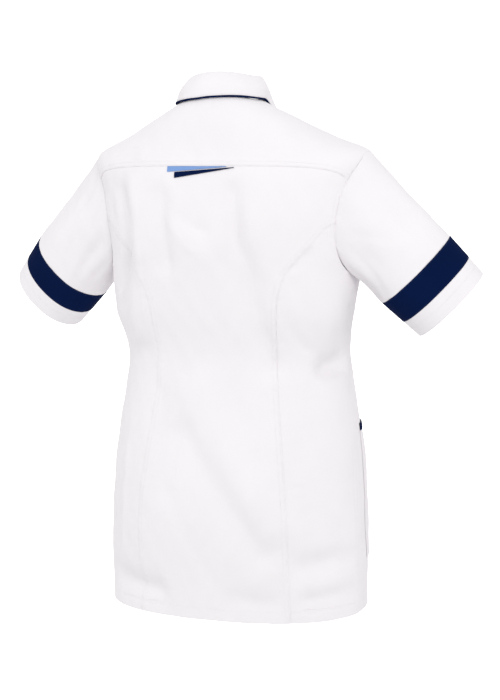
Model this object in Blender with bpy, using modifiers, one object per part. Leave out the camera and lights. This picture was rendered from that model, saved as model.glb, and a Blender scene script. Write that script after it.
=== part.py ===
"""Short-sleeved medical tunic, worn and hollow, as cut and sewn pieces.

The body is one lofted surface: closed rings from the hem up to the neckline, each ring passing over
the shoulders higher than it crosses the back. A point on it has two coordinates: the turn round the
body in degrees, 0 at the centre back, 90 at the wearer's right side and 180 at the centre front, and
the level in millimetres, which is the height of its ring at the centre back. Seams are curves in
these coordinates, and each cloth piece is the patch between its seams, given a wall thickness.

Lengths are millimetres until the mesh is made. +Z is up, the tunic faces -Y, the wearer's right is
-X, and the origin lies between the two points where the collar meets the shoulders.
"""

import math

import bmesh
import bpy
import numpy as np
from mathutils import Vector

MM = 0.001

# Cloth and seams
CLOTH = 1.6
COLLAR_CLOTH = 1.8
TRIM_CLOTH = 1.0
SEAM_GAP = 0.32
LAYER_GAP = 0.36

# Levels of the body rings that the seams refer to
HEM = -728.0
UNDERARM = -245.0
PRINCESS_TOP = -176.0
YOKE_CENTRE = -88.5
YOKE_SIDE = -126.0
YOKE_BEND = 3
SHOULDER_TIP = -92.0
NECKLINE = 10.0

RING_COLUMNS = ("level", "side_x", "side_y", "side_z", "back_y", "front_y", "front_z", "squareness")
RINGS = (
    (-728, 191, -31, -728, 90, -164, -728, 2.25),
    (-650, 191, -33, -650, 95, -166, -650, 2.25),
    (-565, 188, -36, -565, 92, -167, -565, 2.25),
    (-473, 180, -42, -473, 77, -166, -473, 2.25),
    (-402, 169.5, -44, -402, 64, -160, -402, 2.2),
    (-351, 166, -41, -351, 59, -156, -351, 2.2),
    (-300, 175, -18, -300, 67, -156, -300, 2.3),
    (-245, 182, -34, -243, 74, -158, -245, 2.35),
    (-205, 183, -39, -197, 78, -158, -208, 2.5),
    (-165, 189, -39, -149, 78, -151, -174, 2.6),
    (-128, 196, -40, -107, 75, -138, -143, 2.6),
    (-92, 200, -40, -72.5, 70, -123, -118, 2.5),
    (-62, 162, -29, -54, 65, -108, -104, 2.4),
    (-30, 113, -13, -29.5, 62, -86, -88, 2.25),
    (10, 52, 0, 1.5, 52, -60, -66, 2.1),
)

# Soft forms of the worn body: x, z, half width, half height, swell (mm); side +1 is the back
FORM_COLUMNS = ("side", "x", "z", "half_width", "half_height", "swell")
FORMS = (
    (1, 82, -160, 60, 75, 5),
    (1, -82, -160, 60, 75, 5),
    (1, 72, -550, 70, 80, 5),
    (1, -72, -550, 70, 80, 5),
    (1, 30, -676, 85, 50, -4),
    (-1, 78, -252, 52, 62, 17),
    (-1, -78, -252, 52, 62, 17),
)

# Folds of the worn cloth: two ends, half width and depth (mm); a negative depth is a ridge
FOLD_COLUMNS = ("side", "x0", "z0", "x1", "z1", "half_width", "depth")
FOLDS = (
    (1, 71, -118, 63, -235, 15, 6.5),
    (1, 112, -100, 106, -215, 15, -7.0),
    (1, 106, -208, 124, -352, 16, -6.5),
    (1, 138, -112, 122, -190, 15, 3.0),
    (1, 118, -200, 168, -290, 16, 6.0),
    (1, -38, -112, -42, -206, 16, 7.0),
    (1, -42, -206, -80, -382, 22, 7.5),
    (1, 47, -148, -6, -186, 15, 1.5),
    (1, 62, -150, 6, -218, 15, -1.5),
    (1, -136, -372, -192, -370, 17, 9.0),
    (1, 128, -345, 100, -352, 15, 4.0),
    (1, 40, -390, -100, -604, 28, -5.5),
    (1, 56, -455, -90, -640, 22, 6.5),
    (1, -118, -648, -184, -642, 19, 9.0),
    (1, -124, -700, -190, -692, 16, 5.0),
    (1, -30, -694, -96, -700, 16, 4.0),
    (1, 88, -398, 62, -560, 18, 3.0),
    (1, 160, -684, 70, -694, 20, 7.5),
    (-1, 150, -352, 96, -366, 17, 6.0),
    (-1, -150, -352, -96, -368, 17, 6.0),
    (-1, 88, -300, 92, -420, 17, 4.0),
    (-1, -88, -300, -94, -430, 17, 4.0),
    (-1, 60, -420, 44, -640, 22, -4.5),
    (-1, -70, -440, -52, -650, 22, -4.5),
)
FOLD_FADE = 34.0

# The forms and folds fade out towards the side seams, over this share of the body's half depth
SIDE_CALM = 0.35

# The largest share of a ring's half width at which a turn is worked out from x
WIDEST_SHARE = 0.9999

# Armhole: how far it is cut into the back and the front, in degrees of turn
ARMHOLE_BACK = 31.0
ARMHOLE_FRONT = 36.0
ARMHOLE_ROUNDNESS = 0.75
UNDERARM_TURN = 88.0

# Number of steps along each seam
STEPS_HEM_TO_POCKET = 2
STEPS_POCKET = 7
STEPS_POCKET_TO_UNDERARM = 9
STEPS_UNDERARM_TO_PRINCESS = 6
STEPS_PRINCESS_TO_YOKE = 3
STEPS_YOKE_TO_TIP = 4
STEPS_SHOULDER = 5
STEPS_FRONT_ARMHOLE = 13
COLUMNS_BACK_CENTRE = 22
COLUMNS_BACK_SIDE = 6
COLUMNS_FRONT = 14

# Princess seam of the back: level and distance from the centre back
PRINCESS = (
    (-728, 114),
    (-565, 109),
    (-440, 96),
    (-350, 90),
    (-300, 93),
    (-262, 98),
    (-240, 107),
    (-207, 135),
)

# The share of its last step by which the side back's sharp top is cut off
TIP_CUT = 0.25

# Side seam: level and turn round the body
SIDE_SEAM = ((-728, 80), (-565, 80), (-430, 82), (-350, 84), (-245, 88))

# Sleeve: the cuff's top point on the wearer's left, its direction, and its half sizes
CUFF_TOP = (352.0, -82.0, -243.5)
SLEEVE_LINE = (0.665, -0.23, -0.71)
CUFF_HALF_HEIGHT = 62.5
CUFF_HALF_DEPTH = 53.0
CUFF_HEM = 31.0
BAND_WIDTH = 40.0
SLEEVE_TAPER = 0.035
SLEEVE_ROWS = 8
BAND_ROWS = 1

# How steeply the sleeve leaves the armhole, out of the body surface, at its top and its underarm
LEAVE_OUT_TOP = -0.8
LEAVE_OUT_UNDERARM = 0.6
LEAVE_ALONG = 0.1
UNDERARM_SHARE = 0.7

# The sleeve's seam stands this much higher above the body's at the underarm, fading out upwards
UNDERARM_EASE = 1.2
UNDERARM_EASE_RUN = 6

# Soft folds of the sleeve: angle round it from the top towards the back, depth, half width, place along
SLEEVE_FOLD_REACH = 0.3
SLEEVE_END_CALM = 0.2
SLEEVE_FOLDS = ((40, 3.0, 16, 0.5), (75, -2.5, 16, 0.55), (112, 4.0, 16, 0.45), (300, 3.0, 18, 0.5))

# Front closing
OVERLAP = 15.0
LAP_RUN = 40.0
LAP_MARGIN = 4.0
BUTTON_COUNT = 7
BUTTON_TOP_Z = -104.0
BUTTON_BOTTOM_Z = -652.0
BUTTON_RADIUS = 7.5
BUTTON_THICKNESS = 2.6
BUTTON_RIM = 0.7
BUTTON_LIFT = 0.45
BUTTON_SIDES = 16

# Collar
STAND_HEIGHT_BACK = 29.0
STAND_HEIGHT_FRONT = 24.0
STAND_LEAN = 5.0
STAND_TILT = 1.5
STAND_OVER_LAP = 1.8
STAND_END = 176.0
STAND_ROWS = 3
STAND_UP = np.array([0.0, -0.30, 0.954])
NECK_CENTRE_Y = -4.0
COLLAR_COLUMNS = 40
LEAF_ROLL_OUT = 5.0
LEAF_FLATTER_BELOW = 0.4
LEAF_CLEARANCE = 4.3
# The leaf's edge: share of its length, turn, and drop below the neckline; it hangs lower on the left
LEAF_EDGE = ((0.0, 0, 4.5), (0.25, 46, 5.5), (0.5, 89, 7.5), (0.66, 116, 16), (0.82, 140, 47), (1.0, 160, 82))
LEAF_TILT = 4.0
LEAF_OVER_STAND = 0.6
LEAF_ROWS = 6
LEAF_ROLL = ((-0.9, 0.0), (2.4, -0.1), (5.2, -1.8))
PIPING_RADIUS = 1.5
PIPING_SKIP = 4

# Hip pockets on the fronts, with a contrast edge
POCKET_TOP = -461.0
POCKET_BOTTOM = -655.0
POCKET_EDGE = 10.0
POCKET_FIRST_COLUMN = 2
POCKET_LAST_COLUMN = 9

# Two tapered strips under the yoke seam: their tips on the wearer's right of the centre, their ends
# on the left; how far their tops drop below the seam, and their widths
STRIP_COLUMNS = ("tip_x", "end_x", "tip_drop", "end_drop", "tip_width", "end_width")
STRIP_UPPER = (-28.0, 59.0, 0.6, 0.6, 0.9, 7.6)
STRIP_LOWER = (-39.0, 48.0, 1.9, 8.4, 0.9, 8.2)
STRIP_MARGIN = 2.0

CLOTH_ROUGHNESS = 0.85
BUTTON_ROUGHNESS = 0.35
SHARP_ANGLE = math.radians(40)
MIRROR = np.array([-1.0, 1.0])

WHITE = (0.86, 0.86, 0.88)
NAVY = (0.008, 0.02, 0.085)
LIGHT_BLUE = (0.22, 0.42, 0.80)
BUTTON_WHITE = (0.80, 0.80, 0.80)


def natural_spline(knots, values):
    """Cubic spline through the values, straight at both ends, as a function of any array of places."""
    knots = np.asarray(knots, float)
    values = np.asarray(values, float)
    step = np.diff(knots)
    count = len(knots)
    system = np.eye(count)
    load = np.zeros_like(values)
    for i in range(1, count - 1):
        system[i, i - 1 : i + 2] = step[i - 1], 2 * (step[i - 1] + step[i]), step[i]
        rise_after = (values[i + 1] - values[i]) / step[i]
        rise_before = (values[i] - values[i - 1]) / step[i - 1]
        load[i] = 6 * (rise_after - rise_before)
    bend = np.linalg.solve(system, load)

    def at(place):
        place = np.asarray(place, float)
        i = np.clip(np.searchsorted(knots, place) - 1, 0, count - 2)
        extra = (1,) * (values.ndim - 1)
        width = step[i].reshape(place.shape + extra)
        after = (place - knots[i]).reshape(place.shape + extra) / width
        before = 1 - after
        curve = (before**3 - before) * bend[i] + (after**3 - after) * bend[i + 1]
        return before * values[i] + after * values[i + 1] + curve * width**2 / 6

    return at


def columns_of(table, names):
    """The named columns of a table of rows, as arrays."""
    return dict(zip(names, np.array(table, float).T))


def smooth(share):
    """0 below 0, 1 above 1, and a smooth step between."""
    share = np.clip(share, 0, 1)
    return share * share * (3 - 2 * share)


def unit(vectors):
    return vectors / np.linalg.norm(vectors, axis=-1, keepdims=True)


RING_LEVELS = columns_of(RINGS, RING_COLUMNS)["level"]
ring_at = natural_spline(RING_LEVELS, np.array(RINGS, float)[:, 1:])
princess_at = natural_spline(*np.array(PRINCESS, float).T)
side_seam_at = natural_spline(*np.array(SIDE_SEAM, float).T)


def relief(points, is_back):
    """How far the worn forms and folds move the cloth outwards, in mm, at each point."""
    x, z = points[..., 0], points[..., 2]
    out = np.zeros_like(x)
    for row in FORMS:
        form = dict(zip(FORM_COLUMNS, row))
        across = (x - form["x"]) / form["half_width"]
        along = (z - form["z"]) / form["half_height"]
        swell = form["swell"] * np.exp(-(across**2) - along**2)
        out += np.where(is_back == (form["side"] > 0), swell, 0)
    for row in FOLDS:
        fold = dict(zip(FOLD_COLUMNS, row))
        run = np.array([fold["x1"] - fold["x0"], fold["z1"] - fold["z0"]])
        length = np.hypot(*run)
        run = run / length
        along = (x - fold["x0"]) * run[0] + (z - fold["z0"]) * run[1]
        across = (x - fold["x0"]) * run[1] - (z - fold["z0"]) * run[0]
        ends = smooth(0.5 + along / FOLD_FADE) * smooth(0.5 + (length - along) / FOLD_FADE)
        depth = fold["depth"] * np.exp(-((across / fold["half_width"]) ** 2)) * ends
        out -= np.where(is_back == (fold["side"] > 0), depth, 0)
    return out


def body(turn, level):
    """Points of the body surface: a rounded oval ring, its height rising from the centre to the sides."""
    turn, level = np.broadcast_arrays(np.asarray(turn, float), np.asarray(level, float))
    side_x, side_y, side_z, back_y, front_y, front_z, square = np.moveaxis(ring_at(level), -1, 0)
    sine, cosine = np.sin(np.radians(turn)), np.cos(np.radians(turn))
    reach = (np.abs(sine) ** square + np.abs(cosine) ** square) ** (1 / square)
    across, along = sine / reach, cosine / reach
    is_back = cosine >= 0
    depth = np.where(is_back, back_y - side_y, side_y - front_y)
    centre_z = np.where(is_back, level, front_z)
    points = np.stack([-side_x * across, side_y + depth * along, side_z + (centre_z - side_z) * along**2], -1)
    outward = unit(np.stack([-across / side_x, along / depth, np.zeros_like(across)], -1))
    middle = smooth(np.abs(along) / SIDE_CALM)
    return points + outward * (relief(points, is_back) * middle)[..., None]


def body_normal(turn, level):
    """Outward unit normals of the body surface, from its slopes along turn and level."""
    round_step, up_step = 0.2, 0.4
    round_slope = body(turn + round_step, level) - body(turn - round_step, level)
    up_slope = body(turn, level + up_step) - body(turn, level - up_step)
    return unit(np.cross(round_slope, up_slope))


def turn_of_x(x, level):
    """The turn, in the back half, at which the ring of this level is x from the centre."""
    ring = ring_at(level)
    share = np.minimum(np.abs(x) / ring[..., 0], WIDEST_SHARE)
    square = ring[..., 6]
    slope = share / (1 - share**square) ** (1 / square)
    return np.degrees(np.arctan(slope)) * np.sign(x)


def armhole_curve(angle, is_back):
    """(turn, level) of the armhole at an angle from its top, 0, to the underarm, 180."""
    angle = np.asarray(angle, float)
    level = SHOULDER_TIP + (UNDERARM - SHOULDER_TIP) * (1 - np.cos(np.radians(angle))) / 2
    cut = np.sin(np.radians(np.clip(angle, 0, 180))) ** ARMHOLE_ROUNDNESS
    middle = 90 + (UNDERARM_TURN - 90) * angle / 180
    turn = middle - ARMHOLE_BACK * cut if is_back else middle + ARMHOLE_FRONT * cut
    return np.stack([turn, level], -1)


def armhole_angle(level):
    """The angle of the armhole at which it crosses a level."""
    share = (level - SHOULDER_TIP) / (UNDERARM - SHOULDER_TIP)
    return math.degrees(math.acos(1 - 2 * share))


ANGLE_YOKE = armhole_angle(YOKE_SIDE)
ANGLE_PRINCESS = armhole_angle(PRINCESS_TOP)
BACK_ANGLES = np.concatenate(
    [
        np.linspace(0, ANGLE_YOKE, STEPS_YOKE_TO_TIP + 1),
        np.linspace(ANGLE_YOKE, ANGLE_PRINCESS, STEPS_PRINCESS_TO_YOKE + 1)[1:],
        np.linspace(ANGLE_PRINCESS, 180, STEPS_UNDERARM_TO_PRINCESS + 1)[1:],
    ]
)
FRONT_ANGLES = np.linspace(180, 0, STEPS_FRONT_ARMHOLE + 1)
AT_YOKE = STEPS_YOKE_TO_TIP
AT_PRINCESS = AT_YOKE + STEPS_PRINCESS_TO_YOKE


HEM_LEVELS = np.concatenate(
    [
        np.linspace(HEM, POCKET_BOTTOM, STEPS_HEM_TO_POCKET + 1),
        np.linspace(POCKET_BOTTOM, POCKET_TOP - POCKET_EDGE, STEPS_POCKET + 1)[1:],
        np.linspace(POCKET_TOP, UNDERARM, STEPS_POCKET_TO_UNDERARM + 1),
    ]
)


def seam_curves():
    """The seams of the wearer's right half, each an array of (turn, level) from its lower end up."""
    seams = {}
    back = armhole_curve(BACK_ANGLES, True)[::-1]
    count = len(back) - 1
    seams["armhole_side"] = back[: count - AT_PRINCESS + 1]
    seams["armhole_back"] = back[count - AT_PRINCESS : count - AT_YOKE + 1]
    seams["armhole_yoke"] = back[count - AT_YOKE :]
    seams["armhole_front"] = armhole_curve(FRONT_ANGLES, False)
    levels = HEM_LEVELS
    seams["side"] = np.stack([side_seam_at(levels), levels], -1)
    meeting = seams["armhole_back"][0]
    upper = np.linspace(UNDERARM, PRINCESS_TOP, STEPS_UNDERARM_TO_PRINCESS + 1)[1:-1]
    seam_levels = np.concatenate([levels, upper])
    turns = turn_of_x(princess_at(seam_levels), seam_levels)
    seams["princess"] = np.vstack([np.stack([turns, seam_levels], -1), meeting])
    shoulder = np.linspace(SHOULDER_TIP, NECKLINE, STEPS_SHOULDER + 1)
    seams["shoulder"] = np.stack([np.full_like(shoulder, 90.0), shoulder], -1)
    share = np.linspace(-1, 1, COLUMNS_BACK_CENTRE + 1)
    end_turn, end_level = seams["armhole_yoke"][0]
    yoke_levels = YOKE_CENTRE + (end_level - YOKE_CENTRE) * np.abs(share) ** YOKE_BEND
    seams["yoke"] = np.stack([end_turn * share, yoke_levels], -1)
    return seams


def joined(*curves):
    """Curves end to end, each shared point once."""
    return np.vstack([curves[0]] + [curve[1:] for curve in curves[1:]])


def level_line(start, end, level, count):
    return np.stack([np.linspace(start, end, count + 1), np.full(count + 1, level)], -1)


def patch(bottom, top, left, right, level_rows=0):
    """A patch in (turn, level) between four edges: straight lines from side to side, bent as the ends are.

    The bend of the top fades out downwards and is gone at the level rows, that of the bottom upwards.
    """
    rows, columns = len(left), len(bottom)
    across = np.linspace(0, 1, columns)[None, :, None]
    up = np.clip((np.arange(rows) - level_rows) / (rows - 1 - level_rows), 0, 1)[:, None, None]
    sides = (1 - across) * left[:, None] + across * right[:, None]
    return sides + (1 - up) * (bottom[None] - sides[:1]) + up * (top[None] - sides[-1:])


def drawn_in(points, gap):
    """The grid with its four edges moved inwards by the gap, square to each edge."""
    moved = points.copy()
    for axis, edge, inner in ((0, 0, 1), (0, -1, -2), (1, 0, 1), (1, -1, -2)):
        line = np.take(points, edge, axis)
        run = unit(np.gradient(line, axis=0))
        inward = np.take(points, inner, axis) - line
        inward = inward - (inward * run).sum(-1, keepdims=True) * run
        place = (edge, slice(None)) if axis == 0 else (slice(None), edge)
        moved[place] += unit(inward) * gap
    return moved


def grid_normals(points, is_tube=False):
    """Unit normals of a grid of points, from its slopes along columns and rows."""
    if is_tube:
        across = np.roll(points, -1, 1) - np.roll(points, 1, 1)
    else:
        across = np.gradient(points, axis=1)
    return unit(np.cross(across, np.gradient(points, axis=0)))


def read_at(wanted, places, values):
    """Rows of values that stand at places, read at other places between them."""
    order = np.argsort(places)
    columns = [np.interp(wanted, places[order], values[order, axis]) for axis in range(values.shape[1])]
    return np.stack(columns, -1)


def material(name, colour, roughness):
    """A Principled BSDF of this colour, made once."""
    found = bpy.data.materials.get(name)
    if found:
        return found
    made = bpy.data.materials.new(name)
    made.use_nodes = True
    shader = made.node_tree.nodes["Principled BSDF"]
    shader.inputs["Base Color"].default_value = (*colour, 1)
    shader.inputs["Roughness"].default_value = roughness
    shader.inputs["Metallic"].default_value = 0
    made.diffuse_color = (*colour, 1)
    return made


def cloth(name, outer, inner, colour, is_tube=False):
    """A closed cloth wall between two grids of points in mm; a tube's last column joins its first."""
    rows, columns = outer.shape[:2]
    points = np.concatenate([outer.reshape(-1, 3), inner.reshape(-1, 3)]) * MM
    front = np.arange(rows * columns).reshape(rows, columns)
    if is_tube:
        front = np.hstack([front, front[:, :1]])
    back = front + rows * columns
    strips = [(front[:-1], front[1:]), (back[1:], back[:-1]), (back[0], front[0]), (front[-1], back[-1])]
    if not is_tube:
        strips += [(front[:, 0], back[:, 0]), (back[:, -1], front[:, -1])]
    faces = [quads(np.atleast_2d(low), np.atleast_2d(high)) for low, high in strips]
    mesh = bpy.data.meshes.new(name)
    mesh.from_pydata(points.tolist(), [], np.vstack(faces).tolist())
    turned_out(mesh)
    return placed(name, mesh, colour)


def quads(low, high):
    """Faces between two rows of point numbers, or between two stacks of rows."""
    return np.stack([low[:, :-1], low[:, 1:], high[:, 1:], high[:, :-1]], -1).reshape(-1, 4)


def turned_out(mesh):
    """Turns every face of a closed mesh outwards."""
    work = bmesh.new()
    work.from_mesh(mesh)
    bmesh.ops.recalc_face_normals(work, faces=work.faces)
    work.to_mesh(mesh)
    work.free()


def placed(name, mesh, colour):
    """Links a mesh in the tunic's collection, shaded smooth, with its own material."""
    mesh.materials.append(material(name + "_finish", colour, CLOTH_ROUGHNESS))
    mesh.shade_smooth()
    mesh.set_sharp_from_angle(angle=SHARP_ANGLE)
    obj = bpy.data.objects.new(name, mesh)
    tunic.objects.link(obj)
    return obj


def panel(name, grid, colour, lift=0.0, thickness=CLOTH, lap=None):
    """A panel of body cloth over a grid of (turn, level), its outer face lifted off the body surface."""
    normals = body_normal(grid[..., 0], grid[..., 1])
    raised = lift if lap is None else lift + lap(grid)
    outer = body(grid[..., 0], grid[..., 1]) + normals * np.asarray(raised)[..., None]
    trimmed = drawn_in(outer, SEAM_GAP / 2)
    cloth(name, trimmed, trimmed - normals * thickness, colour)
    return outer, normals


def laid_on(name, outer, normals, colour, thickness):
    """A piece sewn on a panel: the panel's own points moved out, and drawn in at the edges."""
    raised = drawn_in(outer + normals * (thickness + LAYER_GAP), SEAM_GAP / 2)
    cloth(name, raised, raised - normals * thickness, colour)


def back_panels(seams):
    """The centre back, the two side backs and the yoke."""
    sides = {"right": 1.0, "left": -1.0}
    edge = joined(seams["princess"], seams["armhole_back"])
    hem_turn = edge[0, 0]
    bottom = level_line(-hem_turn, hem_turn, HEM, COLUMNS_BACK_CENTRE)
    centre = panel("back_centre", patch(bottom, seams["yoke"], edge * MIRROR, edge), WHITE)

    inner = seams["princess"].copy()
    outer = joined(seams["side"], seams["armhole_side"])
    inner[-1] += (inner[-2] - inner[-1]) * TIP_CUT
    outer[-1] += (outer[-2] - outer[-1]) * TIP_CUT
    bottom = level_line(inner[0, 0], outer[0, 0], HEM, COLUMNS_BACK_SIDE)
    top = np.linspace(inner[-1], outer[-1], COLUMNS_BACK_SIDE + 1)
    for side, sign in sides.items():
        grid = patch(bottom, top, inner, outer) * np.array([sign, 1.0])
        panel(f"back_side_{side}", grid if sign > 0 else grid[:, ::-1], WHITE)

    edge = joined(seams["armhole_yoke"], seams["shoulder"])
    neckline = level_line(-90.0, 90.0, NECKLINE, COLUMNS_BACK_CENTRE)
    panel("yoke", patch(seams["yoke"], neckline, edge * MIRROR, edge), WHITE)
    strips(*centre)


def front_edge(levels, reach):
    """The front opening's edge: a line at a distance past the centre front."""
    return np.stack([180 + turn_of_x(np.full_like(levels, reach), levels), levels], -1)


def front_grid(seams, reach):
    """One front, from its side seam to its edge past the centre, and up to the shoulder and neckline."""
    side = joined(seams["side"], seams["armhole_front"])
    tops = np.linspace(UNDERARM, NECKLINE, STEPS_FRONT_ARMHOLE + 1)
    centre = front_edge(np.concatenate([seams["side"][:, 1], tops[1:]]), reach)
    bottom = level_line(side[0, 0], centre[0, 0], HEM, COLUMNS_FRONT)
    neck = level_line(90.0, centre[-1, 0], NECKLINE, COLUMNS_FRONT - STEPS_SHOULDER)
    top = joined(seams["shoulder"], neck)
    return patch(bottom, top, side, centre, len(HEM_LEVELS) - 1)


def right_lap(grid):
    """How far the right front stands off, where it runs over the left one."""
    from_centre = -body(grid[..., 0], grid[..., 1])[..., 0]
    return (CLOTH + 2 * LAYER_GAP) * smooth(1 - (from_centre - OVERLAP - LAP_MARGIN) / LAP_RUN)


def front_panels(seams):
    """The two fronts; the right one laps over the left one at the centre."""
    grid = front_grid(seams, OVERLAP)
    right = panel("front_right", grid, WHITE, lap=right_lap)
    pockets("right", *right)
    buttons(*right)
    pockets("left", *panel("front_left", (grid * MIRROR)[:, ::-1], WHITE))


def buttons(outer, normals):
    """Round flat buttons down the centre front, with rounded rims, square to the right front's cloth."""
    line = np.array([read_at(0.0, row[:, 0], row) for row in outer])
    facing = np.array([read_at(0.0, row[:, 0], out) for row, out in zip(outer, normals)])
    for number, z in enumerate(np.linspace(BUTTON_TOP_Z, BUTTON_BOTTOM_Z, BUTTON_COUNT), 1):
        spot = read_at(z, line[:, 2], line)
        normal = unit(read_at(z, line[:, 2], facing))
        bpy.ops.mesh.primitive_cylinder_add(
            vertices=BUTTON_SIDES, radius=BUTTON_RADIUS * MM, depth=BUTTON_THICKNESS * MM, end_fill_type="NGON"
        )
        button = bpy.context.object
        button.name = f"button_{number}"
        button.location = Vector((spot + normal * (BUTTON_LIFT + BUTTON_THICKNESS / 2)) * MM)
        button.rotation_euler = Vector(normal).to_track_quat("Z", "Y").to_euler()
        rim = button.modifiers.new("rim", "BEVEL")
        rim.width = BUTTON_RIM * MM
        rim.segments = 1
        rim.limit_method = "ANGLE"
        button.data.materials.append(material("button_finish", BUTTON_WHITE, BUTTON_ROUGHNESS))
        for holder in button.users_collection:
            holder.objects.unlink(button)
        tunic.objects.link(button)


def armhole_loop(sign):
    """The armhole's seam as (turn, level), from its top down the back and up the front, not closed."""
    loop = np.vstack([armhole_curve(BACK_ANGLES, True), armhole_curve(FRONT_ANGLES, False)[1:-1]])
    return loop * np.array([sign, 1.0])


def sleeve_ring(sign, along, shrink=0.0):
    """The ring of the straight end of a sleeve, at a distance up from its hem."""
    outward = np.array([-sign, 1.0, 1.0])
    line = unit(np.array(SLEEVE_LINE))
    up = unit(np.array([0.0, 0.0, 1.0]) - line[2] * line)
    across = np.cross(up, line)
    angle = np.radians(np.concatenate([BACK_ANGLES, 360 - FRONT_ANGLES[1:-1]]))[:, None]
    grow = 1 + SLEEVE_TAPER * along / BAND_WIDTH
    centre = np.array(CUFF_TOP) - up * CUFF_HALF_HEIGHT - line * along
    height = (CUFF_HALF_HEIGHT * grow - shrink) * np.cos(angle)
    depth = (CUFF_HALF_DEPTH * grow - shrink) * np.sin(angle)
    return (centre + up * height + across * depth) * outward


def sleeve(side, sign):
    """A set-in sleeve from its armhole to the band, then the band and the hem as parts of one tube."""
    loop = armhole_loop(sign)
    start = body(loop[:, 0], loop[:, 1])
    normal = body_normal(loop[:, 0], loop[:, 1])
    run = np.roll(start, -1, 0) - np.roll(start, 1, 0)
    inside = unit(np.cross(run, normal))
    inside *= np.sign(((start.mean(0) - start) * inside).sum())
    line = unit(np.array(SLEEVE_LINE)) * np.array([-sign, 1.0, 1.0])
    angle = np.concatenate([BACK_ANGLES, FRONT_ANGLES[1:-1]])
    share = (np.cos(np.radians(angle / 2)) ** 2)[:, None]
    end = sleeve_ring(sign, CUFF_HEM + BAND_WIDTH)
    reach = np.linalg.norm(end - start, axis=-1, keepdims=True)
    leave = unit(share * LEAVE_ALONG * inside + (1 - share * LEAVE_ALONG) * unit(end - start))
    under = smooth((1 - share) / UNDERARM_SHARE)
    least = LEAVE_OUT_TOP + (LEAVE_OUT_UNDERARM - LEAVE_OUT_TOP) * under
    leave = unit(leave + normal * np.maximum(least - (leave * normal).sum(-1, keepdims=True), 0))
    step = np.linspace(0, 1, SLEEVE_ROWS + 1)[:, None, None]
    first = start + inside * (SEAM_GAP / 2 + UNDERARM_EASE * (1 - share) ** UNDERARM_EASE_RUN)
    last = end - line * SEAM_GAP / 2
    outer = first * (2 * step**3 - 3 * step**2 + 1) + last * (3 * step**2 - 2 * step**3)
    outer = outer + leave * reach * (step**3 - 2 * step**2 + step)
    outer = outer + line * reach * (step**3 - step**2)
    normals = grid_normals(outer, True)
    normals *= np.sign((normals[-1] * (end - end.mean(0))).sum())
    along = step[..., 0]
    calm = smooth(along / SLEEVE_END_CALM) * smooth((1 - along) / SLEEVE_END_CALM)
    for centre_angle, depth, half_width, centre in SLEEVE_FOLDS:
        turn = (np.concatenate([BACK_ANGLES, 360 - FRONT_ANGLES[1:-1]]) - centre_angle) / half_width
        swell = depth * np.exp(-(turn**2) - ((along - centre) / SLEEVE_FOLD_REACH) ** 2)
        outer = outer - normals * (swell * calm)[..., None]
    normals[0] = normal
    cloth(f"sleeve_{side}", outer, outer - normals * CLOTH, WHITE, True)
    spans = ((f"band_{side}", CUFF_HEM, CUFF_HEM + BAND_WIDTH, NAVY), (f"cuff_{side}", 0.0, CUFF_HEM, WHITE))
    for name, low, high, colour in spans:
        top = 0.0 if low == 0.0 else SEAM_GAP / 2
        places = np.linspace(high - SEAM_GAP / 2, low + top, BAND_ROWS + 1)
        outer = np.stack([sleeve_ring(sign, place) for place in places])
        inner = np.stack([sleeve_ring(sign, place, CLOTH) for place in places])
        cloth(name, outer, inner, colour, True)


def neck_points(turns, height):
    """Points of the collar stand's outer face, at a height up it from the neckline."""
    base = body(turns, NECKLINE)
    clear = LAYER_GAP + STAND_OVER_LAP * (1 - np.cos(np.radians(turns))) / 2
    full = STAND_HEIGHT_FRONT + (STAND_HEIGHT_BACK - STAND_HEIGHT_FRONT) * smooth(1 + np.cos(np.radians(turns)))
    full = full + STAND_TILT * np.sin(np.radians(turns))
    rise = full * height
    inward = unit(np.array([0.0, NECK_CENTRE_Y, 0.0]) - base * np.array([1.0, 1.0, 0.0]))
    return base + STAND_UP * (rise + clear)[:, None] + inward * STAND_LEAN * height


def collar():
    """The stand round the neck, the leaf folded down over it, and the piping in the leaf's edge."""
    turns = np.linspace(-STAND_END, STAND_END, COLLAR_COLUMNS + 1)
    stand = np.stack([neck_points(turns, height) for height in np.linspace(0, 1, STAND_ROWS + 1)])
    normals = grid_normals(stand)
    cloth("collar_stand", stand, stand - normals * COLLAR_CLOTH, WHITE)

    edge_table = np.array(LEAF_EDGE, float)
    share = np.linspace(-1, 1, COLLAR_COLUMNS + 1)
    edge_turn = natural_spline(edge_table[:, 0], edge_table[:, 1])(np.abs(share)) * np.sign(share)
    edge_drop = natural_spline(edge_table[:, 0], edge_table[:, 2])(np.abs(share))
    edge_level = NECKLINE - edge_drop + LEAF_TILT * np.sin(np.radians(edge_turn))
    edge_normal = body_normal(edge_turn, edge_level)
    edge = body(edge_turn, edge_level) + edge_normal * LEAF_CLEARANCE
    top = neck_points(turns, 1.0)
    away = unit((top - np.array([0.0, NECK_CENTRE_Y, 0.0])) * np.array([1.0, 1.0, 0.0]))
    run = unit(np.gradient(top, axis=0))
    rise = (COLLAR_CLOTH + LEAF_OVER_STAND) / np.hypot(run[:, :1], run[:, 1:2])
    fold = [top + away * out + STAND_UP * (rise + up) for out, up in LEAF_ROLL]
    fall = []
    for step in np.linspace(0, 1, LEAF_ROWS + 1)[1:]:
        bulge = LEAF_ROLL_OUT * np.sin(math.pi * step) * (1 - LEAF_FLATTER_BELOW * step)
        fall.append(fold[-1] * (1 - step) + edge * step + away * bulge)
    leaf = np.stack(fold + fall)[::-1]
    normals = grid_normals(leaf)
    cloth("collar_leaf", leaf, leaf - normals * COLLAR_CLOTH, WHITE)

    tube("collar_piping", piping_route(leaf - normals * COLLAR_CLOTH / 2), PIPING_RADIUS, NAVY)


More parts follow.
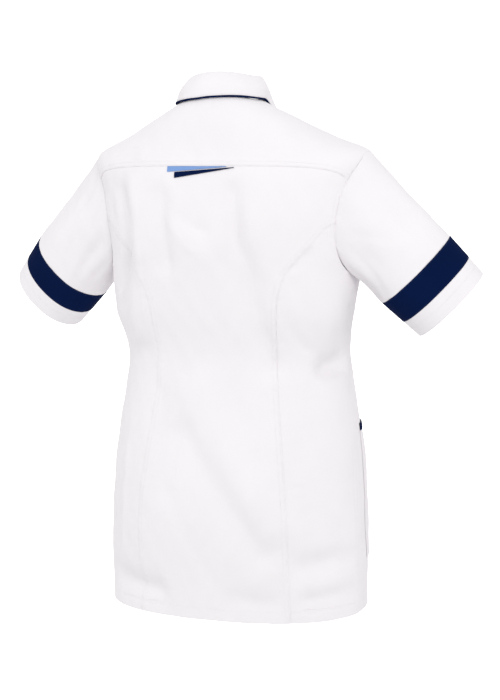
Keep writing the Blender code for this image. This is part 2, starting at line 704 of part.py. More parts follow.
def piping_route(middle):
    """A line just off three edges of the leaf's middle layer: down a front, along the outer edge, and up."""
    edges = ((middle[::-1, 0], middle[::-1, 1]), (middle[0], middle[1]), (middle[:, -1], middle[:, -2]))
    away = []
    for line, inner in edges:
        run = unit(np.gradient(line, axis=0))
        outward = line - inner
        away.append(unit(outward - (outward * run).sum(-1, keepdims=True) * run))
    off = PIPING_RADIUS + LAYER_GAP
    down, along, up = (line + out * off for (line, _), out in zip(edges, away))
    first = middle[0, 0] + mitre(away[0][-1], away[1][0]) * off
    second = middle[0, -1] + mitre(away[1][-1], away[2][0]) * off
    return np.vstack([down[PIPING_SKIP:-1], first[None], along[1:-1], second[None], up[1:-PIPING_SKIP]])


def mitre(first, second):
    """The way to a corner that lies 1 out from both of two edges, given their outward unit vectors."""
    return (first + second) / (1 + first @ second)


def tube(name, route, radius, colour):
    """A round cord along a route in mm."""
    curve = bpy.data.curves.new(name, "CURVE")
    curve.dimensions = "3D"
    curve.bevel_depth = radius * MM
    curve.bevel_resolution = 1
    curve.use_fill_caps = True
    spline = curve.splines.new("POLY")
    spline.points.add(len(route) - 1)
    for point, place in zip(spline.points, route * MM):
        point.co = (*place, 1)
    curve.materials.append(material(name + "_finish", colour, CLOTH_ROUGHNESS))
    obj = bpy.data.objects.new(name, curve)
    tunic.objects.link(obj)


def strips(outer, normals):
    """The two tapered strips under the yoke seam, over the panel's top row of faces, the light one higher."""
    top, below = outer[-1], outer[-2]
    for name, row, colour in (("flash_light", STRIP_UPPER, LIGHT_BLUE), ("flash_navy", STRIP_LOWER, NAVY)):
        strip = dict(zip(STRIP_COLUMNS, row))
        inside = (top[:, 0] > strip["tip_x"] + STRIP_MARGIN) & (top[:, 0] < strip["end_x"] - STRIP_MARGIN)
        between = top[inside, 0]
        x = np.sort(np.concatenate([between, [strip["tip_x"], strip["end_x"]]]))[::-1]
        share = (x - strip["tip_x"]) / (strip["end_x"] - strip["tip_x"])
        drop = strip["tip_drop"] + (strip["end_drop"] - strip["tip_drop"]) * share
        width = strip["tip_width"] + (strip["end_width"] - strip["tip_width"]) * share
        lines = (top, below, normals[-1], normals[-2])
        upper, lower, out, out_below = (read_at(x, top[:, 0], line) for line in lines)
        down = unit(lower - upper)
        points = np.stack([upper + down * (drop + width)[:, None], upper + down * drop[:, None]])
        laid_on(name, points, unit(np.stack([out + out_below, out])), colour, TRIM_CLOTH)


def pockets(side, outer, normals):
    """A patch pocket on a front with a contrast strip along its top, made from the front's points."""
    first_row = STEPS_HEM_TO_POCKET
    top_row = first_row + STEPS_POCKET
    columns = slice(POCKET_FIRST_COLUMN, POCKET_LAST_COLUMN + 1)
    if side == "left":
        columns = slice(COLUMNS_FRONT - POCKET_LAST_COLUMN, COLUMNS_FRONT - POCKET_FIRST_COLUMN + 1)
    for name, first, last, colour in (
        ("pocket", first_row, top_row, WHITE),
        ("pocket_edge", top_row, top_row + 1, NAVY),
    ):
        part = (slice(first, last + 1), columns)
        laid_on(f"{name}_{side}", outer[part], normals[part], colour, CLOTH)


for old in list(bpy.data.objects):
    bpy.data.objects.remove(old, do_unlink=True)
tunic = bpy.data.collections.new("medical_tunic")
bpy.context.scene.collection.children.link(tunic)

seam_lines = seam_curves()
back_panels(seam_lines)
front_panels(seam_lines)
for side_name, side_sign in (("right", 1.0), ("left", -1.0)):
    sleeve(side_name, side_sign)
collar()
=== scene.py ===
"""Short-sleeved medical tunic, worn and hollow: its cloth, seams, folds, stitches, buttons and piping.

The body is one lofted surface. A point on it has two coordinates: the turn round the body in degrees,
0 at the centre back, 90 at the wearer's right side and 180 at the centre front, and the level, which is
the height of its ring at the centre back. Lengths are millimetres until a mesh is made. +Z is up, the
tunic faces -Y and the wearer's right is -X, as in the frame.
"""

import math

import bmesh
import bpy
import numpy as np
from mathutils import Matrix, Quaternion, Vector


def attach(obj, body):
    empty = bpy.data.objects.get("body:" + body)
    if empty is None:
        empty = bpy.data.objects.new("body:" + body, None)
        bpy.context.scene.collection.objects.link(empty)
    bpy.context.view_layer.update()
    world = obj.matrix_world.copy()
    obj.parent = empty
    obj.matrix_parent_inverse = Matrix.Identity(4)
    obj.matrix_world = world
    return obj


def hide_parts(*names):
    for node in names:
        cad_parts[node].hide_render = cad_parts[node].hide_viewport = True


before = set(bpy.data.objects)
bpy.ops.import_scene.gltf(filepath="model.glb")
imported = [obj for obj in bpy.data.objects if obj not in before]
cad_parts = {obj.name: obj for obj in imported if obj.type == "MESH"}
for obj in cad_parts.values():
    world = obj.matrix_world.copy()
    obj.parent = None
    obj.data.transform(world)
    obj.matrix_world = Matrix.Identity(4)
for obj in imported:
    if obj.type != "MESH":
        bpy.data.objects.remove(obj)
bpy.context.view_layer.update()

# The view and the light.
# The tunic is seen from behind and from a little to the wearer's right, filled out as if worn, on a
# white ground. The light is soft and comes mostly from beside the camera, so that the sides fall off.
TARGET = Vector((-0.0293, -0.0107, -0.354))
AZIMUTH = 200.0
ELEVATION = 8.07
DISTANCE = 2.525
ROLL = -0.8
FOCAL_PIXELS = 1764.0
PHOTO_HEIGHT = 700.0
SENSOR = 36.0
FLOOR_LEVEL = -1.25
FLOOR_RADIUS = 1.0
FLOOR_SIDES = 96
SKY_STRENGTH = 0.85
BACKDROP_DISTANCE = 6.0
BACKDROP_SIZE = 7.0
BACKDROP_GLOW = 1.1
STAGE_COLOUR = (0.9, 0.9, 0.9, 1)

# Lights: name, azimuth, elevation, distance, size and power
LIGHTS = (
    ("key", 216.0, 28.0, 2.8, 0.8, 24.5),
    ("front", 20.0, 40.0, 3.0, 2.0, 5.0),
    ("left", 118.0, 18.0, 2.8, 1.6, 14.0),
    ("right", 282.0, 18.0, 2.8, 1.6, 3.0),
)


def direction(azimuth, elevation):
    """The unit vector from the tunic towards a place at an azimuth, 0 at -Y, and an elevation, in degrees."""
    turn, rise = math.radians(azimuth), math.radians(elevation)
    return Vector((math.sin(turn) * math.cos(rise), -math.cos(turn) * math.cos(rise), math.sin(rise)))


scene = bpy.context.scene
scene.view_settings.view_transform = "Standard"
camera_data = bpy.data.cameras.new("camera")
camera_data.sensor_width = SENSOR
camera_data.lens = SENSOR * FOCAL_PIXELS / PHOTO_HEIGHT
camera = bpy.data.objects.new("camera", camera_data)
camera.location = TARGET + direction(AZIMUTH, ELEVATION) * DISTANCE
camera.rotation_mode = "QUATERNION"
facing = (-direction(AZIMUTH, ELEVATION)).to_track_quat("-Z", "Y")
camera.rotation_quaternion = facing @ Quaternion((0, 0, 1), math.radians(ROLL))
scene.collection.objects.link(camera)
scene.camera = camera

for light_name, light_turn, light_rise, light_distance, light_size, light_watts in LIGHTS:
    light_data = bpy.data.lights.new(light_name, "AREA")
    light_data.shape = "DISK"
    light_data.size = light_size
    light_data.energy = light_watts
    light = bpy.data.objects.new(light_name, light_data)
    light.location = TARGET + direction(light_turn, light_rise) * light_distance
    light.rotation_euler = (-direction(light_turn, light_rise)).to_track_quat("-Z", "Y").to_euler()
    scene.collection.objects.link(light)

world = bpy.data.worlds.new("white_ground")
world.use_nodes = True
world.node_tree.nodes["Background"].inputs["Color"].default_value = (1, 1, 1, 1)
world.node_tree.nodes["Background"].inputs["Strength"].default_value = SKY_STRENGTH
scene.world = world


def new_finish(name, inputs):
    """A material whose shader has these values on its inputs."""
    made = bpy.data.materials.new(name)
    made.use_nodes = True
    shader = made.node_tree.nodes["Principled BSDF"]
    for key, value in inputs.items():
        shader.inputs[key].default_value = value
    return made


bpy.ops.mesh.primitive_circle_add(
    vertices=FLOOR_SIDES, radius=FLOOR_RADIUS, fill_type="NGON",
    location=(TARGET.x, TARGET.y, FLOOR_LEVEL),
)
floor = bpy.context.object
floor.name = "floor"
floor.data.materials.append(new_finish("floor_finish", {"Base Color": STAGE_COLOUR, "Roughness": 1.0}))

bpy.ops.mesh.primitive_plane_add(size=BACKDROP_SIZE)
backdrop = bpy.context.object
backdrop.name = "backdrop"
backdrop.location = TARGET - direction(AZIMUTH, 0.0) * BACKDROP_DISTANCE
backdrop.rotation_euler = direction(AZIMUTH, 0.0).to_track_quat("Z", "Y").to_euler()
backdrop.data.materials.append(new_finish("backdrop_finish", {
    "Base Color": STAGE_COLOUR, "Emission Color": (1, 1, 1, 1), "Emission Strength": BACKDROP_GLOW,
}))

# The centre back: one long piece of white cloth under the yoke, between the two princess seams.
# It carries most of the folds that show. Its hem is turned up inside and its other edges are seamed.
# The body surface, its folds, the cloth wall and the woven finish are worked out here first.
MM = 0.001
HEM = -728.0
UNDERARM = -245.0
PRINCESS_TOP = -176.0
YOKE_CENTRE = -88.5
YOKE_SIDE = -126.0
SHOULDER_TIP = -92.0
NECKLINE = 10.0
YOKE_BEND = 3
CLOTH = 1.0
STEP = 3.0
END_STEPS = (0, 0.7, 1.5, 2.5, 4.0, 6.0)
SHARP_ANGLE = math.radians(50)

# Rings of the body: level, side_x, side_y, side_z, back_y, front_y, front_z, squareness
RINGS = (
    (-728, 191, -31, -728, 90, -164, -728, 2.25),
    (-650, 191, -33, -650, 95, -166, -650, 2.25),
    (-565, 188, -36, -565, 92, -167, -565, 2.25),
    (-473, 180, -42, -473, 77, -166, -473, 2.25),
    (-402, 169.5, -44, -402, 64, -160, -402, 2.2),
    (-351, 166, -41, -351, 59, -156, -351, 2.2),
    (-300, 175, -18, -300, 67, -156, -300, 2.3),
    (-245, 182, -34, -243, 74, -158, -245, 2.35),
    (-205, 183, -39, -197, 78, -158, -208, 2.5),
    (-165, 189, -39, -149, 78, -151, -174, 2.6),
    (-128, 196, -40, -107, 75, -138, -143, 2.6),
    (-92, 200, -40, -72.5, 70, -123, -118, 2.5),
    (-62, 162, -29, -54, 65, -108, -104, 2.4),
    (-30, 113, -13, -29.5, 62, -86, -88, 2.25),
    (10, 52, 0, 1.5, 52, -60, -66, 2.1),
)

# Soft forms of the worn body: side (+1 is the back), x, z, half_width, half_height, swell
FORMS = (
    (1, 82, -160, 60, 75, 5),
    (1, -82, -160, 60, 75, 5),
    (1, 72, -550, 70, 80, 5),
    (1, -72, -550, 70, 80, 5),
    (1, 30, -676, 85, 50, -4),
    (-1, 78, -252, 52, 62, 17),
    (-1, -78, -252, 52, 62, 17),
)

# Broad folds: side, x0, z0, x1, z1, half_width, height; a trough has a negative height
FOLDS = (
    (1, 71, -118, 63, -235, 15, -6.5),
    (1, 112, -100, 106, -215, 15, 7.0),
    (1, 106, -208, 124, -352, 16, 6.5),
    (1, 138, -112, 122, -190, 15, -3.0),
    (1, 118, -200, 168, -290, 16, -6.0),
    (1, -38, -112, -42, -206, 16, -7.0),
    (1, -42, -206, -80, -382, 22, -7.5),
    (1, 47, -148, -6, -186, 15, -1.5),
    (1, 62, -150, 6, -218, 15, 1.5),
    (1, -136, -372, -192, -370, 17, -9.0),
    (1, 128, -345, 100, -352, 15, -4.0),
    (1, 40, -390, -100, -604, 28, 5.5),
    (1, 56, -455, -90, -640, 22, -6.5),
    (1, -118, -648, -184, -642, 19, -9.0),
    (1, -124, -700, -190, -692, 16, -5.0),
    (1, -30, -694, -96, -700, 16, -4.0),
    (1, 88, -398, 62, -560, 18, -3.0),
    (1, 160, -684, 70, -694, 20, -7.5),
    (-1, 150, -352, 96, -366, 17, -6.0),
    (-1, -150, -352, -96, -368, 17, -6.0),
    (-1, 88, -300, 92, -420, 17, -4.0),
    (-1, -88, -300, -94, -430, 17, -4.0),
    (-1, 60, -420, 44, -640, 22, 4.5),
    (-1, -70, -440, -52, -650, 22, 4.5),
)
FOLD_FADE = 34.0

# Finer creases: side, x0, z0, x1, z1, bow, half width on either side of the line, height
CREASES = (
    (1, 68, -125, 62, -240, -3, 6, 9, -2.2),
    (1, 102, -106, 104, -345, 3, 6, 7, 2.6),
    (1, 121, -198, 162, -284, 3, 8, 6, -3.0),
    (1, 140, -112, 114, -188, 7, 5, 8, -2.2),
    (1, 164, -120, 150, -178, 3, 5, 6, -1.6),
    (1, 153, -116, 140, -176, 3, 5, 6, 1.3),
    (1, 50, -146, -10, -182, -8, 6, 9, -1.6),
    (1, 62, -152, 4, -218, -6, 7, 6, 1.0),
    (1, -36, -100, -44, -222, 3, 9, 7, -3.2),
    (1, -40, -150, -78, -350, 4, 15, 15, -3.8),
    (1, -74, -300, -88, -388, 2, 10, 8, -3.0),
    (1, -112, -42, -104, -86, 0, 8, 14, 2.2),
    (1, 100, -58, 104, -86, 0, 14, 8, 1.8),
    (1, -143, -196, -108, -236, 3, 4, 6, -3.2),
    (1, -106, -280, -150, -364, -12, 8, 10, -2.4),
    (1, -132, -379, -190, -383, 0, 6, 22, -6.0),
    (1, -160, -376, -176, -318, -3, 8, 10, -2.5),
    (1, 62, -420, 58, -540, 3, 9, 9, -1.2),
    (1, 137, -430, 150, -683, 2, 5, 6, 1.7),
    (1, -60, -470, -92, -556, 2, 7, 6, -1.3),
    (1, -112, -536, -132, -534, 1, 3, 4, -0.8),
    (1, -112, -551, -136, -549, 1, 3, 4, -0.7),
    (1, -122, -694, -188, -686, -3, 10, 13, -2.5),
    (1, 152, -690, 66, -695, 0, 10, 15, -2.5),
    (1, -177, -560, -189, -672, 5, 5, 5, 1.6),
    (1, -166, -570, -180, -680, 5, 5, 5, -1.4),
    (-1, 140, -190, 100, -232, 4, 6, 8, -2.0),
    (-1, -138, -186, -98, -236, -4, 6, 8, -2.0),
    (-1, 30, -180, 52, -330, 5, 8, 8, -1.6),
    (-1, -34, -170, -60, -326, -5, 8, 8, -1.8),
    (-1, 120, -350, 86, -358, 2, 6, 8, -2.2),
    (-1, -124, -352, -90, -362, -2, 6, 8, -2.4),
    (-1, 76, -396, 70, -452, 3, 9, 9, -1.4),
    (-1, -40, -420, -20, -600, 6, 10, 12, -1.6),
    (-1, 26, -470, 8, -660, -6, 11, 10, 1.4),
    (-1, 146, -600, 120, -704, 4, 8, 8, -1.5),
    (-1, -150, -590, -126, -700, -4, 8, 8, -1.5),
)
CREASE_FADE = 0.32

# The forms and folds fade out towards the side seams, over this share of the body's half depth
SIDE_CALM = 0.35

# A slow waviness of all the cloth: three wave lengths along X, Y and Z, and the height of each wave
RIPPLES = ((71, 90, 118, 0.30), (47, 60, -83, 0.22), (-33, 52, 57, 0.16), (26, -31, 44, 0.10))
RIPPLE_SHIFT = 1.7

# The small steps of turn and level over which the body's slopes are taken
SLOPE_TURN = 0.2
SLOPE_LEVEL = 0.4

# Half of the back's armhole cut and of the front's, in degrees of turn
ARMHOLE_BACK = 31.0
ARMHOLE_FRONT = 36.0
ARMHOLE_ROUNDNESS = 0.75
UNDERARM_TURN = 88.0

# The share of its last step by which the side back's sharp top is cut off
TIP_CUT = 0.4

# The largest share of a ring's half width at which a turn is worked out from x
WIDEST_SHARE = 0.9999

# The princess seam's distance from the centre back at each level, and the side seam's turn
PRINCESS = (
    (-728, 114), (-565, 109), (-440, 96), (-350, 90), (-300, 93), (-262, 98), (-240, 107), (-207, 135),
)
SIDE_SEAM = ((-728, 80), (-565, 80), (-430, 82), (-350, 84), (-245, 88))

# Seams: the widths of an edge's dip, of the allowance that lifts the cloth and of the slope at its end,
# and the reach, wave lengths and shares of the puckers
SEAM_RUN = 2.4
ALLOWANCE = 8.5
ALLOWANCE_SLOPE = 1.5
PUCKER_REACH = 7.0
PUCKER_START = 1.5
PUCKER_AT_EDGE = 0.3
PUCKER_WAVES = ((8.7, 0.5), (13.1, 0.9), (21.0, 0.7), (34.0, 0.6))

# Hem: the height of the turning, the distance between its two layers' middles and the steps of its fold
HEM_TURNING = 19.0
HEM_LAYERS_APART = 1.16
HEM_ARC_STEPS = 8
HEM_INSIDE_ROWS = 9
HEM_CLEAR = 0.2

# The least width of a cut piece, in metres: a narrow trim is cut this wide before its edges are turned
SMALLEST_CUT = 0.0102


def natural_spline(knots, values):
    """Cubic spline through the values, straight at both ends, as a function of any array of places."""
    knots = np.asarray(knots, float)
    values = np.asarray(values, float)
    shape = values.shape[1:]
    values = values.reshape(len(knots), -1)
    step = np.diff(knots)
    rise = np.diff(values, axis=0) / step[:, None]
    system = np.eye(len(knots))
    load = np.zeros_like(values)
    for i in range(1, len(knots) - 1):
        system[i, i - 1 : i + 2] = step[i - 1], 2 * (step[i - 1] + step[i]), step[i]
        load[i] = 6 * (rise[i] - rise[i - 1])
    bend = np.linalg.solve(system, load)

    def at(place):
        place = np.asarray(place, float)
        i = np.clip(np.searchsorted(knots, place) - 1, 0, len(knots) - 2)
        width = step[i][..., None]
        after = (place - knots[i])[..., None] / width
        before = 1 - after
        curve = (before**3 - before) * bend[i] + (after**3 - after) * bend[i + 1]
        found = before * values[i] + after * values[i + 1] + curve * width**2 / 6
        return found.reshape(place.shape + shape)

    return at


def smooth(share):
    """0 below 0, 1 above 1, and 3t^2 - 2t^3 between."""
    share = np.clip(share, 0, 1)
    return share * share * (3 - 2 * share)


def unit(vectors):
    """The vectors divided by their lengths."""
    return vectors / np.linalg.norm(vectors, axis=-1, keepdims=True)


RING_TABLE = np.array(RINGS, float)
ring_at = natural_spline(RING_TABLE[:, 0], RING_TABLE[:, 1:])
princess_at = natural_spline(*np.array(PRINCESS, float).T)
side_seam_at = natural_spline(*np.array(SIDE_SEAM, float).T)


def relief(points, is_back):
    """How far forms, folds and creases lift the cloth: bells across each line, faded at its two ends.

    A crease's line is bowed by bow * (1 - (2s - 1)^2) at the share s of its length.
    """
    x, z = points[..., 0], points[..., 2]
    out = np.zeros_like(x)
    for side, form_x, form_z, half_width, half_height, swell in FORMS:
        bell = swell * np.exp(-(((x - form_x) / half_width) ** 2) - ((z - form_z) / half_height) ** 2)
        out += np.where(is_back == (side > 0), bell, 0)
    for side, x0, z0, x1, z1, half_width, height in FOLDS:
        length = math.hypot(x1 - x0, z1 - z0)
        run_x, run_z = (x1 - x0) / length, (z1 - z0) / length
        along = (x - x0) * run_x + (z - z0) * run_z
        across = (x - x0) * run_z - (z - z0) * run_x
        ends = smooth(0.5 + along / FOLD_FADE) * smooth(0.5 + (length - along) / FOLD_FADE)
        out += np.where(is_back == (side > 0), height * np.exp(-((across / half_width) ** 2)) * ends, 0)
    for side, x0, z0, x1, z1, bow, left_width, right_width, height in CREASES:
        length = math.hypot(x1 - x0, z1 - z0)
        run_x, run_z = (x1 - x0) / length, (z1 - z0) / length
        share = ((x - x0) * run_x + (z - z0) * run_z) / length
        across = (x - x0) * run_z - (z - z0) * run_x - bow * (1 - (2 * share - 1) ** 2)
        half = np.where(across > 0, right_width, left_width)
        ends = smooth(share / CREASE_FADE) * smooth((1 - share) / CREASE_FADE)
        out += np.where(is_back == (side > 0), height * np.exp(-((across / half) ** 2)) * ends, 0)
    return out


def ripples(points):
    """A slow waviness: a sum of plane sine waves over X, Y and Z."""
    out = np.zeros(points.shape[:-1])
    for number, (along_x, along_y, along_z, height) in enumerate(RIPPLES):
        phase = points[..., 0] / along_x + points[..., 1] / along_y + points[..., 2] / along_z
        out += height * np.sin(2 * math.pi * phase + RIPPLE_SHIFT * number)
    return out


def body(turn, level):
    """Points of the body: a superellipse ring for each level, its height rising from centre to sides."""
    turn, level = np.broadcast_arrays(np.asarray(turn, float), np.asarray(level, float))
    side_x, side_y, side_z, back_y, front_y, front_z, square = np.moveaxis(ring_at(level), -1, 0)
    sine, cosine = np.sin(np.radians(turn)), np.cos(np.radians(turn))
    reach = (np.abs(sine) ** square + np.abs(cosine) ** square) ** (1 / square)
    across, along = sine / reach, cosine / reach
    is_back = cosine >= 0
    depth = np.where(is_back, back_y - side_y, side_y - front_y)
    centre_z = np.where(is_back, level, front_z)
    points = np.stack([-side_x * across, side_y + depth * along, side_z + (centre_z - side_z) * along**2], -1)
    outward = unit(np.stack([-across / side_x, along / depth, np.zeros_like(across)], -1))
    middle = smooth(np.abs(along) / SIDE_CALM)
    return points + outward * (relief(points, is_back) * middle + ripples(points))[..., None]


def body_normal(turn, level):
    """Outward unit normals of the body surface: the cross product of its slopes along turn and level."""
    round_slope = body(turn + SLOPE_TURN, level) - body(turn - SLOPE_TURN, level)
    up_slope = body(turn, level + SLOPE_LEVEL) - body(turn, level - SLOPE_LEVEL)
    return unit(np.cross(round_slope, up_slope))


def turn_of_x(x, level):
    """The turn, in the back half, at which the ring of this level is x from the centre."""
    ring = ring_at(np.asarray(level, float))
    share = np.minimum(np.abs(x) / ring[..., 0], WIDEST_SHARE)
    square = ring[..., 6]
    slope = share / (1 - share**square) ** (1 / square)
    return np.degrees(np.arctan(slope)) * np.sign(x)


def armhole_curve(angle, is_back):
    """(turn, level) of the armhole at an angle from its top, 0, to the underarm, 180."""
    angle = np.asarray(angle, float)
    level = SHOULDER_TIP + (UNDERARM - SHOULDER_TIP) * (1 - np.cos(np.radians(angle))) / 2
    cut = np.sin(np.radians(np.clip(angle, 0, 180))) ** ARMHOLE_ROUNDNESS
    middle = 90 + (UNDERARM_TURN - 90) * angle / 180
    turn = middle - ARMHOLE_BACK * cut if is_back else middle + ARMHOLE_FRONT * cut
    return np.stack([turn, level], -1)


def armhole_angle(level):
    """The angle of the armhole at which it crosses a level: the arc cosine of its share of the height."""
    share = (level - SHOULDER_TIP) / (UNDERARM - SHOULDER_TIP)
    return math.degrees(math.acos(1 - 2 * share))


def joined(*curves):
    """Curves end to end, each shared point once."""
    return np.vstack([curves[0]] + [curve[1:] for curve in curves[1:]])


def run_of(points, axis):
    """The length along a grid's rows or columns, or along a line, from its first point to each point."""
    lengths = np.linalg.norm(np.diff(points, axis=axis), axis=-1)
    start = np.zeros_like(np.take(lengths, [0], axis))
    return np.concatenate([start, np.cumsum(lengths, axis=axis)], axis)


def run_back(points, axis):
    """The length along a grid's rows or columns from its last point back to each point."""
    run = run_of(points, axis)
    return np.take(run, [-1], axis) - run


def distances_in(points):
    """How far inside its left, right, bottom and top edges each point of a grid lies."""
    return {
        "left": run_of(points, 1), "right": run_back(points, 1),
        "bottom": run_of(points, 0), "top": run_back(points, 0),
    }


def read_at(places, run, values):
    """Rows of values read at places along a run, each column straight between its neighbours."""
    return np.stack([np.interp(places, run, column) for column in values.T], -1)


def resampled(curve, shares):
    """A curve of (turn, level) read at shares of its real length on the body."""
    run = run_of(body(curve[:, 0], curve[:, 1]), 0)
    return read_at(shares * run[-1], run, curve)


def even_shares(length, step=STEP):
    """Shares of a length in even steps, with closer ones near its two ends."""
    ends = np.array(END_STEPS)
    between = length - 2 * ends[-1]
    count = max(int(round(between / step)), 1)
    evenly = np.linspace(ends[-1], length - ends[-1], count + 1)[1:-1]
    return np.concatenate([ends, evenly, length - ends[::-1]]) / length


def patch(bottom, top, left, right, across, up):
    """Straight lines from side to side, bent as the bottom is where up is 0 and as the top where it is 1."""
    across, up = across[None, :, None], up[:, None, None]
    sides = (1 - across) * left[:, None] + across * right[:, None]
    return sides + (1 - up) * (bottom[None] - sides[:1]) + up * (top[None] - sides[-1:])


def grid_normals(points, is_tube=False):
    """Unit normals of a grid: the cross product of its slopes along columns and rows."""
    if is_tube:
        across = np.roll(points, -1, 1) - np.roll(points, 1, 1)
    else:
        across = np.gradient(points, axis=1)
    return unit(np.cross(across, np.gradient(points, axis=0)))


def facing_of(points, outward, is_tube=False):
    """Unit normals of a grid, each turned to the side that the outward vector there points to."""
    facing = grid_normals(points, is_tube)
    return facing * np.sign((facing * outward).sum(-1, keepdims=True))


def seam_shape(away, along, dip, rise, pucker, phase):
    """The height of cloth near a seam: a dip at the edge, a step over the allowance and dying puckers."""
    out = -dip * (1 - smooth(away / SEAM_RUN)) + rise * smooth((ALLOWANCE - away) / ALLOWANCE_SLOPE + 1)
    waves = sum(size * np.sin(2 * math.pi * along / length + phase * length) for length, size in PUCKER_WAVES)
    return out + pucker * waves * np.exp(-away / PUCKER_REACH) * smooth(away / PUCKER_START + PUCKER_AT_EDGE)


def seam_relief(points, away, seams):
    """The height of a grid's cloth from its seams: each edge has its dip, rise, pucker and phase."""
    along = {"left": run_of(points, 0), "bottom": run_of(points, 1)}
    along.update(right=along["left"], top=along["bottom"])
    return sum(seam_shape(away[edge], along[edge], *shape) for edge, shape in seams.items())


def mesh_of(name, points, faces):
    """A smooth mesh from any array of points in mm and its faces."""
    mesh = bpy.data.meshes.new(name)
    mesh.from_pydata((points.reshape(-1, 3) * MM).tolist(), [], faces)
    mesh.shade_smooth()
    return mesh


def placed(name, mesh):
    """The mesh as an object of the scene, at the origin."""
    piece = bpy.data.objects.new(name, mesh)
    scene.collection.objects.link(piece)
    return piece


def faced_out(mesh):
    """Turns the faces of closed, separate shells outwards."""
    work = bmesh.new()
    work.from_mesh(mesh)
    bmesh.ops.recalc_face_normals(work, faces=work.faces)
    work.to_mesh(mesh)
    work.free()


def wall(name, outer, inner, is_tube=False):
    """A closed cloth wall between two grids of points in mm; a tube's last column joins its first.

    Its UV map is the length in metres along rows and columns, so that the weave has its real size.
    """
    rows, columns = outer.shape[:2]
    points = np.concatenate([outer.reshape(-1, 3), inner.reshape(-1, 3)])
    front = np.arange(rows * columns).reshape(rows, columns)
    closed = np.concatenate([outer, outer[:, :1]], 1) if is_tube else outer
    chart = np.stack([run_of(closed, 1), run_of(closed, 0)], -1) * MM
    chart_front = np.arange(closed.shape[0] * closed.shape[1]).reshape(closed.shape[:2])
    chart = np.concatenate([chart.reshape(-1, 2)] * 2)
    if is_tube:
        front = np.hstack([front, front[:, :1]])

    def faces_of(near, size):
        far = near + size
        strips = [(near[:-1], near[1:]), (far[1:], far[:-1]), (far[:1], near[:1]), (near[-1:], far[-1:])]
        if not is_tube:
            strips += [(near[:, :1].T, far[:, :1].T), (far[:, -1:].T, near[:, -1:].T)]
        corners = [(low[:, :-1], low[:, 1:], high[:, 1:], high[:, :-1]) for low, high in strips]
        return np.vstack([np.stack(corner, -1).reshape(-1, 4) for corner in corners])

    faces = faces_of(front, rows * columns)
    middle = points[faces[: (rows - 1) * (front.shape[1] - 1)]]
    flat = np.cross(middle[:, 1] - middle[:, 0], middle[:, 2] - middle[:, 0])
    away = (outer - inner).reshape(-1, 3)[faces[: len(middle), 0]]
    if (flat * away).sum() < 0:
        faces = faces[:, ::-1]
        chart_faces = faces_of(chart_front, chart_front.size)[:, ::-1]
    else:
        chart_faces = faces_of(chart_front, chart_front.size)
    mesh = mesh_of(name, points, faces.tolist())
    layer = mesh.uv_layers.new(name="cloth")
    layer.uv.foreach_set("vector", chart[chart_faces.ravel()].astype(np.float32).ravel())
    mesh.set_sharp_from_angle(angle=SHARP_ANGLE)
    return placed(name, mesh)


# The weave: its pitch in mm, the depth of its bumps in metres and their strength
WEAVE_PITCH = 0.42
WEAVE_DEPTH = 0.00012
WEAVE_STRENGTH = 0.25

# The cloth's noise: the scale of the slow shading and of the fibres, the fibres' share of the colour,
# the weave's share of the bumps, and where the two shades lie on the sum
SHADING_SCALE = 14
FIBRE_SCALE = 700
FIBRE_SHARE = 0.3
WEAVE_SHARE = 0.5
SHADES_AT = (0.40, 0.86)


def added(nodes, kind, inputs=None, **settings):
    """A new node of a finish with its settings, and with values on its inputs by number or name."""
    made = nodes.new(f"ShaderNode{kind}")
    for key, value in settings.items():
        setattr(made, key, value)
    for key, value in (inputs or {}).items():
        made.inputs[key].default_value = value
    return made


def shade_ramp(nodes, low, high, places=(0.0, 1.0)):
    """A ramp from one colour to another between two places."""
    ramp = added(nodes, "ValToRGB")
    for stop, place, colour in zip(ramp.color_ramp.elements, places, (low, high)):
        stop.position = place
        stop.color = (*colour, 1)
    return ramp


def woven(name, colour, shade, sheen, specular):
    """Plain-woven cloth: the product of two sines of the UV lengths makes the weave's bumps.

    Slow noise moves the colour between two near shades, and fine noise stands for the fibres.
    """
    made = new_finish(name, {
        "Roughness": 0.85, "Specular IOR Level": specular, "Sheen Weight": sheen, "Sheen Roughness": 0.5,
    })
    nodes, links = made.node_tree.nodes, made.node_tree.links
    shader = nodes["Principled BSDF"]
    place = added(nodes, "TexCoord")
    split = added(nodes, "SeparateXYZ")
    links.new(place.outputs["UV"], split.inputs["Vector"])
    weave = added(nodes, "Math", operation="MULTIPLY")
    for number, axis in enumerate(("X", "Y")):
        scaled = added(nodes, "Math", {1: 2 * math.pi / (WEAVE_PITCH * MM)}, operation="MULTIPLY")
        links.new(split.outputs[axis], scaled.inputs[0])
        wave = added(nodes, "Math", operation="SINE")
        links.new(scaled.outputs[0], wave.inputs[0])
        links.new(wave.outputs[0], weave.inputs[number])
    slow = added(nodes, "TexNoise", {"Scale": SHADING_SCALE, "Detail": 3})
    fine = added(nodes, "TexNoise", {"Scale": FIBRE_SCALE, "Detail": 2})
    for noise in (slow, fine):
        links.new(place.outputs["Object"], noise.inputs["Vector"])
    both = added(nodes, "Math", {1: FIBRE_SHARE}, operation="MULTIPLY_ADD")
    links.new(fine.outputs["Fac"], both.inputs[0])
    links.new(slow.outputs["Fac"], both.inputs[2])
    ramp = shade_ramp(nodes, shade, colour, SHADES_AT)
    links.new(both.outputs[0], ramp.inputs["Fac"])
    links.new(ramp.outputs["Color"], shader.inputs["Base Color"])
    height = added(nodes, "Math", {1: WEAVE_SHARE}, operation="MULTIPLY_ADD")
    links.new(weave.outputs[0], height.inputs[0])
    links.new(fine.outputs["Fac"], height.inputs[2])
    bump = added(nodes, "Bump", {"Strength": WEAVE_STRENGTH, "Distance": WEAVE_DEPTH})
    links.new(height.outputs[0], bump.inputs["Height"])
    links.new(bump.outputs["Normal"], shader.inputs["Normal"])
    return made


